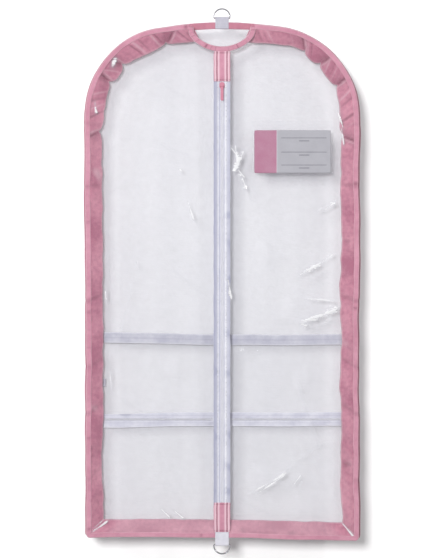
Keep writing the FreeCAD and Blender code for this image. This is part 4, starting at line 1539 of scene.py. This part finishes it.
            # painted highlight along both edges
            rims.append(np.full(len(run), 0.9 if a < 0.05 or a > 0.99 else 0.0))
        marks = {"rim": np.stack(rims, axis=1), "crease": np.stack(creases, axis=1)}
        piece = swept("neck_tape", np.stack(columns, axis=1), marks=marks)
        dress(piece, self.finishes.binding, "pink_binding", "neck_binding")
        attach(piece, UPPER)
        lines = []
        for grow in (1.6 * MM, 7.6 * MM):
            place = self.neck.path(grow, float(high[2]) - 3 * MM, 1.6 * MM)
            lines.append(np.stack([place[:, 0], np.full(len(place), float(low[1])), place[:, 1]], -1))
        stitches = self.thread.row("neck_stitches", lines, (0, -1, 0))
        dress(stitches, self.finishes.thread, "pink_binding")
        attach(stitches, UPPER)
        return piece

    def build(self) -> None:
        """Bindings first, then the gusset that rests on them."""
        front, rear = self.outline.around(self.step, 61 * MM), self.outline.around(self.step)
        low, high = node_box("front_binding_lower")
        self.binding(
            "front_binding", front, 4.5 * MM, 1.0 * MM, self.front_width, float(low[1]), float(high[1]),
            ("front_binding_left_upper", "front_binding_right_upper", "front_binding_lower"),
        )
        lines = ((6.2 * MM, 2.7 * MM), (12.4 * MM, 8.9 * MM))
        self.seam("front_stitches", front, lines, float(low[1]), (0, -1, 0))
        low, high = node_box("back_binding_lower")
        self.binding(
            "back_binding", rear, 0.0, 0.0, self.back_width, float(low[1]), float(high[1]),
            halves("back_binding"),
        )
        lines = ((1.8 * MM, 1.8 * MM), (10.8 * MM, 10.8 * MM))
        self.seam("back_stitches", rear, lines, float(high[1]), (0, 1, 0))
        self.neck_tape()
        self.gusset()


def helix(x_from: float, x_to: float, y_from: float, y_to: float, z_from: float, z_to: float, pitch: float,
          wire: float, phase: float, turn_points: int = 8, sides: int = 5) -> Array:
    """One side of a coil zipper: a wire wound in a flattened screw.

    The wire's middle goes round an ellipse in x and y while it climbs pitch per turn in z, and a circle
    of sides points is carried square to it.

    Args:
        x_from: the coil's inner side.
        x_to: its outer side.
        y_from: its front.
        y_to: its back.
        z_from: one end.
        z_to: the other end.
        pitch: climb per turn.
        wire: the wire's radius.
        phase: where the first turn starts, in turns.
        turn_points: stops per turn.
        sides: points round the wire.

    Returns:
        (stops, sides, 3) places.
    """
    turns = abs(z_to - z_from) / pitch
    t = np.linspace(0, turns, int(turns * turn_points))
    angle = 2 * math.pi * (t + phase)
    rx, ry = abs(x_to - x_from) / 2 - wire, abs(y_to - y_from) / 2 - wire
    middle = np.stack(
        [
            (x_from + x_to) / 2 + rx * np.cos(angle),
            (y_from + y_to) / 2 + ry * np.sin(angle),
            z_from + (z_to - z_from) * t / turns,
        ],
        -1,
    )
    way = np.gradient(middle, axis=0)
    way /= np.linalg.norm(way, axis=1, keepdims=True)
    out = np.stack([np.cos(angle), np.sin(angle), np.zeros_like(angle)], -1)
    side = np.cross(way, out)
    side /= np.linalg.norm(side, axis=1, keepdims=True)
    out = np.cross(side, way)
    ring = np.arange(sides) * 2 * math.pi / sides
    around = np.cos(ring)[:, None] * out[:, None] + np.sin(ring)[:, None] * side[:, None]
    return middle[:, None] + wire * around


@dataclass
class FrontZipper:
    """The long zipper: two woven tapes, two wound coils, and a sewn tab over each end."""

    finishes: Finishes
    thread: Thread = field(default_factory=Thread)
    pitch: float = 1.5 * MM
    wire: float = 0.30 * MM
    cloth: float = 0.45 * MM
    patch: float = 0.35 * MM

    def tape(self, side: int) -> Piece:
        """One woven tape, flat at the coil and slightly rippled at its outer edge, with painted shade in
        stripes, in blotches and over the whole left tape, and painted highlight lines.

        Args:
            side: 1 for right, -1 for left.

        Returns:
            The piece.
        """
        word = "right" if side > 0 else "left"
        low, high = node_box(*halves(f"zipper_tape_{word}"))
        inner = min(abs(low[0]), abs(high[0]))
        outer = max(abs(low[0]), abs(high[0]))
        z = np.linspace(high[2], low[2], 420)
        share = np.linspace(0, 1, 25)
        ripple = waves(z, 70 + side, 0.03) * 0.16 * MM + waves(z, 72 + side, 0.09) * 0.12 * MM
        stray = (waves(z, 75 + side, 0.05) * 0.25 * MM)[:, None] * share[None] ** 2
        x = inner + (outer - inner) * share[None] + stray
        y = low[1] + 0.12 * MM + np.abs(ripple)[:, None] * share[None] ** 1.5
        grid = np.stack([side * x, y, np.repeat(z[:, None], len(share), 1)], -1)
        # painted shade: darker stripes near the coil and the outer edge, and over the outer half
        shade = 0.55 * bell(share, 0.24, 0.05) + 0.4 * bell(share, 0.86, 0.05)
        shade = shade + 0.42 * smooth(share, 0.50, 0.62)
        # painted shade in blotches, as of wrinkles
        wrinkle_shade = 0.75 * smooth(ripples(side * x, z[:, None], 77 + side, 0.035), 0.4, 1.7) * share[None]
        # the left tape is darker all over: painted shade
        dim = 0.32 if side < 0 else 0.0
        crease = np.clip(shade[None] + wrinkle_shade + dim, 0, 1)
        # painted highlight lines along the tape
        rim = np.repeat((0.9 * bell(share, 0.46, 0.035) + 0.5 * bell(share, 0.12, 0.05))[None], len(z), 0)
        piece = slab(f"zip_tape_{word}", grid, self.cloth, {"crease": crease, "rim": rim})
        dress(piece, self.finishes.tape, "white_tape", *halves(f"zipper_tape_{word}"))
        return over_fold(piece)

    def coil(self, side: int) -> Piece:
        """One wound coil, half a turn out of step with its partner so that they mesh.

        Args:
            side: 1 for right, -1 for left.

        Returns:
            The piece.
        """
        word = "right" if side > 0 else "left"
        low, high = node_box(*halves(f"zipper_coil_{word}"))
        outer = max(abs(low[0]), abs(high[0])) * side
        inner, rear = -0.7 * MM * side, high[1] - 0.1 * MM
        grid = helix(inner, outer, low[1], rear, high[2], low[2], self.pitch, self.wire, 0.0)
        if side < 0:
            grid[..., 2] -= self.pitch / 2
            grid = grid[grid[:, 0, 2] > low[2]]
        piece = swept(f"zip_coil_{word}", grid)
        dress(piece, self.finishes.coil, "white_coil", *halves(f"zipper_coil_{word}"))
        return over_fold(piece)

    def tab(self, name: str, node: str, body: str) -> None:
        """A topstitched patch over the zipper's end, in front and behind.

        Each face is a rounded oblong: the grid's border is pulled in at the corners, and the cloth
        swells between the lines of stitches. Painted shade lies along the stitch lines and on fine
        ripples, and painted highlight lines beside them.

        Args:
            name: the piece's name.
            node: the CAD node that it stands for.
            body: what it moves with.
        """
        low, high = node_box(node)
        u = np.linspace(-1, 1, 33)
        v = np.linspace(-1, 1, 65)
        uu, vv = np.meshgrid(u, v)
        middle_x, half_x = (low[0] + high[0]) / 2, (high[0] - low[0]) / 2
        middle_z, half_z = (low[2] + high[2]) / 2, (high[2] - low[2]) / 2
        corner = 1 - 0.05 * (np.abs(uu) ** 8) * (np.abs(vv) ** 24)
        x = middle_x + half_x * uu * corner + waves(v, 81, 0.9)[:, None] * 0.25 * MM * np.abs(uu)
        z = middle_z + half_z * vv
        line = bell(np.abs(uu), 0.62, 0.09) + bell(np.abs(vv) * half_z, half_z - 3 * MM, 0.9 * MM)
        swell = (1 - np.maximum(np.abs(uu), np.abs(vv)) ** 10) * (1 - 0.6 * np.clip(line, 0, 1))
        ripple = waves(z, 82, 0.012) * 0.10 * MM
        front = low[1] + 0.42 * MM - 0.36 * MM * swell + ripple * swell
        # painted shade along the stitch lines and on fine ripples
        crease = np.clip(0.75 * line + 0.5 * smooth(ripples(x, 0.3 * z, 84, 0.012), 1.0, 2.0), 0, 1)
        # painted highlight lines beside the stitches
        rim = np.clip(0.8 * bell(np.abs(uu), 0.80, 0.10) + 0.8 * bell(np.abs(uu), 0.40, 0.10), 0, 1)
        marks = {"crease": crease, "rim": rim}
        patch = slab(name, np.stack([x, front, z], -1), self.patch, marks)
        dress(patch, self.finishes.binding, "pink_binding", node)
        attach(patch, body)
        behind = high[1] - 0.45 * MM
        rear_grid = np.stack([x, np.full_like(x, behind), z], -1)
        rear = slab(f"{name}_rear", rear_grid, self.patch + 0.1 * MM * swell)
        dress(rear, self.finishes.binding, "pink_binding")
        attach(rear, body)
        lines = []
        ends = np.array([low[2] + 3 * MM, high[2] - 3 * MM])
        sides = np.array([middle_x - 0.62 * half_x, middle_x + 0.62 * half_x])
        top = low[1] + 0.12 * MM
        for x_side in sides:
            lines.append(np.array([[x_side, top, ends[0]], [x_side, top, ends[1]]]))
        for z_end in ends:
            lines.append(np.array([[low[0] + 3 * MM, top, z_end], [high[0] - 3 * MM, top, z_end]]))
        stitches = self.thread.row(f"{name}_stitches", lines, (0, -1, 0))
        dress(stitches, self.finishes.thread, "pink_binding")
        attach(stitches, body)

    def build(self) -> None:
        """Tapes, coils and tabs."""
        for side in (1, -1):
            self.tape(side)
            self.coil(side)
        self.tab("top_tab", "zipper_top_tab", UPPER)
        self.tab("bottom_tab", "zipper_bottom_tab", LOWER)


@dataclass
class Webbing:
    """A short loop of webbing that carries a ring."""

    name: str
    node: str
    body: str
    finishes: Finishes
    cloth: Material
    wire: float = 1.5 * MM
    leg_stops: int = 14
    turn_stops: int = 15
    edge_points: int = 28
    thread: Thread = field(default_factory=lambda: Thread(3.0 * MM, 2.2 * MM, 0.25 * MM))

    def build(self) -> None:
        """The loop: up one leg, half a turn round the ring's bar, and down the other leg.

        The strip's profile is a flat oblong with round edges, carried along that run. The legs'
        ends are cut square, and the edges wander a little.
        """
        low, high = node_box(self.node)
        bar = self.wire
        middle_y = (low[1] + high[1]) / 2
        thick = (high[1] - low[1]) / 2 - bar
        upright = self.body == UPPER
        bar_z = high[2] - bar - thick if upright else low[2] + bar + thick
        end_z = low[2] if upright else high[2]
        sign = 1.0 if upright else -1.0
        leg = np.linspace(end_z, bar_z, self.leg_stops)
        turn = np.linspace(0, math.pi, self.turn_stops)[1:-1]
        front, level = np.full(self.leg_stops, -1.0), np.zeros(self.leg_stops)
        radius = bar + thick / 2
        y = radius * np.concatenate([front, -np.cos(turn), -front])
        z = np.concatenate([leg, bar_z + sign * radius * np.sin(turn), leg[::-1]])
        out_y = np.concatenate([front, -np.cos(turn), -front])
        out_z = np.concatenate([level, sign * np.sin(turn), level])
        half_x = (high[0] - low[0]) / 2
        angle = np.arange(self.edge_points) * 2 * math.pi / self.edge_points
        flat_x = np.sign(np.cos(angle)) * np.abs(np.cos(angle)) ** 0.25
        flat_t = np.sign(np.sin(angle)) * np.abs(np.sin(angle)) ** 0.5
        wander = 1 - 0.018 * np.abs(waves(z, 91, 0.012))
        grid = np.stack(
            [
                half_x * flat_x[None] * wander[:, None],
                middle_y + y[:, None] + out_y[:, None] * flat_t[None] * thick / 2,
                z[:, None] + out_z[:, None] * flat_t[None] * thick / 2,
            ],
            -1,
        )
        piece = swept(self.name, grid)
        dress(piece, self.cloth, "white_webbing", self.node)
        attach(piece, self.body)
        rows = []
        for share in (0.30, 0.62):
            height = end_z + (bar_z - end_z) * share
            for face in (low[1], high[1]):
                rows.append(np.array([[low[0] + 1.5 * MM, face, height], [high[0] - 1.5 * MM, face, height]]))
        stitches = self.thread.row(f"{self.name}_stitches", rows, (0, -1, 0))
        dress(stitches, self.finishes.white_thread, "white_webbing")
        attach(stitches, self.body)


@dataclass
class CardPocket:
    """The clear window on the front and the printed card in it."""

    finishes: Finishes

    def build(self) -> None:
        """A film window welded on three sides, slightly bowed, and a thin card with round corners."""
        low, high = node_box("id_window")
        u, v = np.meshgrid(np.linspace(0, 1, 61), np.linspace(0, 1, 43))
        x = low[0] + (high[0] - low[0]) * u
        z = low[2] + (high[2] - low[2]) * v
        rim = np.minimum(np.minimum(u, 1 - u) * (high[0] - low[0]), v * (high[2] - low[2]))
        y = (low[1] + 0.05 * MM) + (0.9 * MM) * (1 - smooth(rim, 0.0, 3.2 * MM))
        y = y + 0.05 * MM * ripples(x, z, 95, 0.05)
        # painted highlights near the welded edge and in patches
        glare = 0.30 * bell(rim, 2.4 * MM, 1.3 * MM) + 0.5 * smooth(ripples(x, z, 96, 0.07), 1.3, 2.2)
        window = open_sheet("card_window", np.stack([x, y, z], -1), Facing.FRONT, {"glare": glare})
        dress(window, self.finishes.front_film, "clear_vinyl", "id_window")
        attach(window, UPPER)
        low, high = node_box("id_card")
        u, v = np.meshgrid(np.linspace(-1, 1, 57), np.linspace(-1, 1, 33))
        half_x, half_z = (high[0] - low[0]) / 2, (high[2] - low[2]) / 2
        soft = 1 - 0.012 * (np.abs(u) ** 24) * (np.abs(v) ** 24)
        x = (low[0] + high[0]) / 2 + half_x * u * soft
        z = (low[2] + high[2]) / 2 + half_z * v * soft
        card = slab("name_card", np.stack([x, np.full_like(x, low[1] + 0.06 * MM), z], -1), 0.28 * MM)
        dress(card, Printed("printed_card", low, high).material(), "card", "id_card")
        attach(card, "id_card")


@dataclass
class InnerPockets:
    """Pockets on the back: upper ones open under a hem, lower ones with a zipper, and their parting tape."""

    finishes: Finishes
    pitch: float = 1.5 * MM
    wire: float = 0.28 * MM
    tilt: float = 2.4 * MM

    def bend(self, grid: Array, tilt: float, share: Array) -> Array:
        """Let a strip rise and fall along the bag's width.

        Args:
            grid: the strip's places.
            tilt: how much its left end drops.
            share: how far each place follows, 0 where a slider has to run straight.

        Returns:
            The moved places.
        """
        x = grid[..., 0]
        rise = 0.5 * MM * waves(x, 101, 0.16) * smooth(np.abs(x), 0.02, 0.06) - tilt * smooth(-x, 0.02, 0.23)
        moved = grid.copy()
        moved[..., 2] += rise * share
        return moved

    def film(self, name: str, node: str, seed: int) -> Piece:
        """One clear pocket panel, with broad ripples.

        Args:
            name: the piece's name.
            node: the CAD node it stands for.
            seed: fixes its ripples.

        Returns:
            The piece.
        """
        low, high = node_box(node)
        u, v = np.meshgrid(np.linspace(0, 1, 77), np.linspace(0, 1, 31))
        x = low[0] + (high[0] - low[0]) * u
        z = low[2] + (high[2] - low[2]) * v
        fade = smooth(np.minimum(v, 1 - v), 0.0, 0.15) * smooth(np.abs(x), 0.008, 0.03)
        fade = fade * smooth(np.minimum(u, 1 - u), 0.0, 0.08)
        edge = smooth(np.minimum(u, 1 - u), 0.06, 0.0)
        y = low[1] + 0.25 * MM + (0.7 * MM * ripples(x, z, seed, 0.11) + 0.6 * MM) * fade
        y = y + edge * (high[1] - low[1] - 0.9 * MM)
        # painted highlights in patches
        glare = 0.45 * smooth(ripples(x, z, seed + 1, 0.08), 1.1, 2.1) * fade
        piece = open_sheet(name, np.stack([x, y, z], -1), Facing.FRONT, {"glare": glare})
        dress(piece, self.finishes.pocket_film, "clear_vinyl", node)
        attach(piece, LOWER)
        return piece

    def band(
        self, name: str, node: str, material: Material, slot: str, tilt: float, follow: tuple[float, float]
    ) -> Piece:
        """A level strip of cloth across the bag, rippled along its length, with painted shade on
        scattered ripples, a darker line along its middle, and painted highlights along both edges.

        Args:
            name: the piece's name.
            node: the CAD node it stands for.
            material: its finish.
            slot: its slot.
            tilt: how much its left end drops.
            follow: how far its lower and its upper edge follow the tilt.

        Returns:
            The piece.
        """
        low, high = node_box(node)
        u, v = np.meshgrid(np.linspace(0, 1, 221), np.linspace(0, 1, 17))
        x = low[0] + (high[0] - low[0]) * u
        z = low[2] + (high[2] - low[2]) * v
        fade = np.sin(math.pi * v)
        free = smooth(follow[0] + (follow[1] - follow[0]) * v, 0.55, 1.0)
        y = low[1] + 0.1 * MM + 0.16 * MM * (1 + waves(x, len(name), 0.03)) * fade * free
        grid = self.bend(np.stack([x, y, z], -1), tilt, free)
        # painted shade on scattered ripples, and a darker line along the middle
        crease = 0.8 * smooth(ripples(x, 3 * z, len(name) + 3, 0.05), 0.9, 1.9) + 0.5 * bell(v, 0.5, 0.06)
        # painted highlight along both edges
        rim = 0.8 * (bell(v, 0.0, 0.08) + bell(v, 1.0, 0.08))
        piece = slab(name, grid, 0.28 * MM, {"crease": np.clip(crease, 0, 1), "rim": rim})
        dress(piece, material, slot, node)
        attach(piece, LOWER)
        return piece

    def coil(self, name: str, node: str, flip: bool) -> Piece:
        """One side of the band's zipper, wound along X.

        Args:
            name: the piece's name.
            node: the CAD node it stands for.
            flip: whether it is the lower side.

        Returns:
            The piece.
        """
        low, high = node_box(node)
        middle = (high[2] if flip else low[2]) + (0.4 * MM if flip else -0.4 * MM)
        edge = low[2] if flip else high[2]
        inner = middle + (0.5 * MM if flip else -0.5 * MM)
        wound = helix(inner, edge, low[1], high[1], low[0], high[0], self.pitch, self.wire, 0.0, 6, 4)
        if flip:
            wound[..., 2] += self.pitch / 2
            wound = wound[wound[:, 0, 2] < high[0]]
        grid = np.stack([wound[..., 2], wound[..., 1], wound[..., 0]], -1)
        piece = swept(name, grid)
        dress(piece, self.finishes.coil, "white_coil", node)
        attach(piece, LOWER)
        return piece

    def build(self) -> None:
        """Films, hem, zipper band, parting tape and label."""
        self.film("upper_pocket_film", "pocket_panel_upper", 111)
        self.film("lower_pocket_film", "pocket_panel_lower", 121)
        self.band("hem_band", "pocket_hem", self.finishes.satin, "white_satin", -5.0 * MM, (1.0, 1.0))
        tape = self.finishes.band_tape
        self.band("band_tape_top", "pocket_zipper_tape_upper", tape, "white_tape", self.tilt, (0, 1))
        self.band("band_tape_bottom", "pocket_zipper_tape_lower", tape, "white_tape", self.tilt, (1, 0))
        self.coil("band_coil_top", "pocket_zipper_coil_upper", False)
        self.coil("band_coil_bottom", "pocket_zipper_coil_lower", True)
        low, high = node_box("pocket_divider")
        pieces = []
        for ends in ((-611.5, -736.9), (-762.9, -929.3)):
            u, v = np.meshgrid(np.linspace(0, 1, 9), np.linspace(0, 1, 60))
            x = low[0] + (high[0] - low[0]) * u
            z = (ends[0] + (ends[1] - ends[0]) * v) * MM
            y = np.full_like(x, low[1] + 0.08 * MM) + 0.1 * MM * np.abs(waves(z, 131, 0.04))
            strip = slab("parting_tape", np.stack([x, y, z], -1), 0.25 * MM)
            pieces.append(strip)
        for k, (strip, word) in enumerate(zip(pieces, ("upper", "lower"))):
            strip.name = f"parting_tape_{word}"
            nodes = ("pocket_divider",) if k == 0 else ()
            dress(strip, self.finishes.satin, "white_satin", *nodes)
            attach(strip, LOWER)
        low, high = node_box("care_label")
        u, v = np.meshgrid(np.linspace(0, 1, 9), np.linspace(0, 1, 13))
        x = low[0] + (high[0] - low[0]) * u
        z = low[2] + (high[2] - low[2]) * v
        y = low[1] + 0.1 * MM * np.sin(math.pi * u) * (1 - v)
        label = slab("blank_label", np.stack([x, y, z], -1), 0.18 * MM)
        dress(label, self.finishes.webbing, "white_satin", "care_label")
        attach(label, LOWER)


@dataclass
class Hardware:
    """Metal parts whose CAD shapes stay as they are."""

    finishes: Finishes

    def build(self) -> None:
        """Give rings, sliders and pulls their finishes."""
        chosen = {
            self.finishes.chrome: ("top_ring", "bottom_ring"),
            self.finishes.pink_enamel: ("zipper_slider", "zipper_pull"),
            self.finishes.white_enamel: (
                "pocket_slider_left", "pocket_slider_right", "pocket_pull_left", "pocket_pull_right",
            ),
        }
        for material, names in chosen.items():
            for name in names:
                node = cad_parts[name]
                if not node.material_slots:
                    node.data.materials.append(material)
                for slot in node.material_slots:
                    slot.material = material
                LOG.info("%s: finished", name)


# ---------------------------------------------------------------- studio


@dataclass(frozen=True)
class Studio:
    """Camera, wall and lights."""

    reach: float = 2.877
    lens: float = 100.0
    middle_x: float = 1.9 * MM
    middle_z: float = -488 * MM
    wall_y: float = 64 * MM
    sky: float = 0.32
    seen_sky: float = 0.92

    def camera(self) -> None:
        """A level camera straight in front of the bag."""
        data = bpy.data.cameras.new("camera")
        data.lens, data.sensor_width, data.clip_end = self.lens, 36.0, 50.0
        camera = bpy.data.objects.new("camera", data)
        camera.location = (self.middle_x, FRONT_Y - self.reach, self.middle_z)
        camera.rotation_euler = (math.pi / 2, 0, 0)
        bpy.context.scene.collection.objects.link(camera)
        bpy.context.scene.camera = camera

    def wall(self) -> None:
        """A pale wall close behind the bag, clear when seen from its rear."""
        x, z = np.meshgrid(np.linspace(-4, 4, 9), np.linspace(-4.5, 3.5, 9))
        piece = open_sheet("wall", np.stack([x, np.full_like(x, self.wall_y), z], -1), Facing.FRONT)
        material, tree, shader, coordinate = new_material("wall_paint")
        tone = tree.noise(coordinate.outputs["Object"], 3.0)
        tree.join(tree.blend(tone, (0.93, 0.93, 0.93), (0.95, 0.95, 0.95)), shader.inputs["Base Color"])
        shader.inputs["Roughness"].default_value = 0.9
        shader.inputs["Specular IOR Level"].default_value = 0.0
        clear = tree.add("ShaderNodeBsdfTransparent")
        mix = tree.add("ShaderNodeMixShader")
        tree.join(tree.add("ShaderNodeNewGeometry").outputs["Backfacing"], mix.inputs[0])
        tree.join(shader.outputs[0], mix.inputs[1])
        tree.join(clear.outputs[0], mix.inputs[2])
        tree.join(mix.outputs[0], material.node_tree.nodes["Material Output"].inputs["Surface"])
        piece.data.materials.append(material)

    def lamp(
        self, name: str, place: Color, aim: Color, size: tuple[float, float], power: float, mirrored: bool
    ) -> None:
        """An oblong lamp.

        Args:
            name: its name.
            place: where it is.
            aim: what it looks at.
            size: its width and height.
            power: its power, in watts.
            mirrored: whether glossy surfaces show it.
        """
        data = bpy.data.lights.new(name, "AREA")
        data.shape, data.size, data.size_y, data.energy = "RECTANGLE", size[0], size[1], power
        lamp = bpy.data.objects.new(name, data)
        lamp.location = place
        way = np.array(aim) - np.array(place)
        way = way / np.linalg.norm(way)
        lamp.rotation_euler = (math.acos(-way[2]), 0.0, math.atan2(way[0], -way[1]) + math.pi)
        lamp.visible_glossy = mirrored
        bpy.context.scene.collection.objects.link(lamp)

    def build(self) -> None:
        """Everything round the bag."""
        scene = bpy.context.scene
        scene.view_settings.view_transform = "Standard"
        self.camera()
        self.wall()
        self.lamp("key", (-1.05, -4.5, 0.42), (0, 0, -0.5), (0.95, 0.95), 178.0, False)
        self.lamp("rear", (0.6, 2.6, 0.8), (0, 0, -0.5), (1.6, 1.6), 45.0, True)
        self.lamp("glint_left", (-1.5, -1.3, 0.3), (0, 0, -0.4), (0.12, 1.2), 6.0, True)
        self.lamp("glint_right", (1.4, -1.2, -0.1), (0, 0, -0.5), (0.12, 1.2), 6.0, True)
        world = bpy.data.worlds.new("studio")
        world.use_nodes = True
        tree = Tree(world.node_tree)
        sky = world.node_tree.nodes["Background"]
        sky.inputs[0].default_value = (1.0, 1.0, 1.0, 1)
        seen = tree.add("ShaderNodeLightPath").outputs["Is Camera Ray"]
        tree.join(tree.math("MULTIPLY_ADD", seen, self.seen_sky - self.sky, self.sky), sky.inputs[1])
        scene.world = world


def main() -> None:
    """Build the studio and the bag, piece by piece."""
    logging.basicConfig(level=logging.INFO, format="%(message)s")
    Studio().build()
    rear_low, rear_high = node_box(*halves("back_binding"))
    outline = Outline(half_width=float(rear_high[0]), bottom=float(rear_low[2]))
    neck = Neck()
    finishes = Finishes()
    Trim(outline, neck, finishes).build()
    Panels(outline, neck, finishes).build()
    FrontZipper(finishes).build()
    Webbing("top_webbing", "top_strap", UPPER, finishes, finishes.webbing).build()
    Webbing("bottom_webbing", "bottom_strap", LOWER, finishes, finishes.lower_webbing).build()
    CardPocket(finishes).build()
    InnerPockets(finishes).build()
    Hardware(finishes).build()


if __name__ == "__main__":
    main()
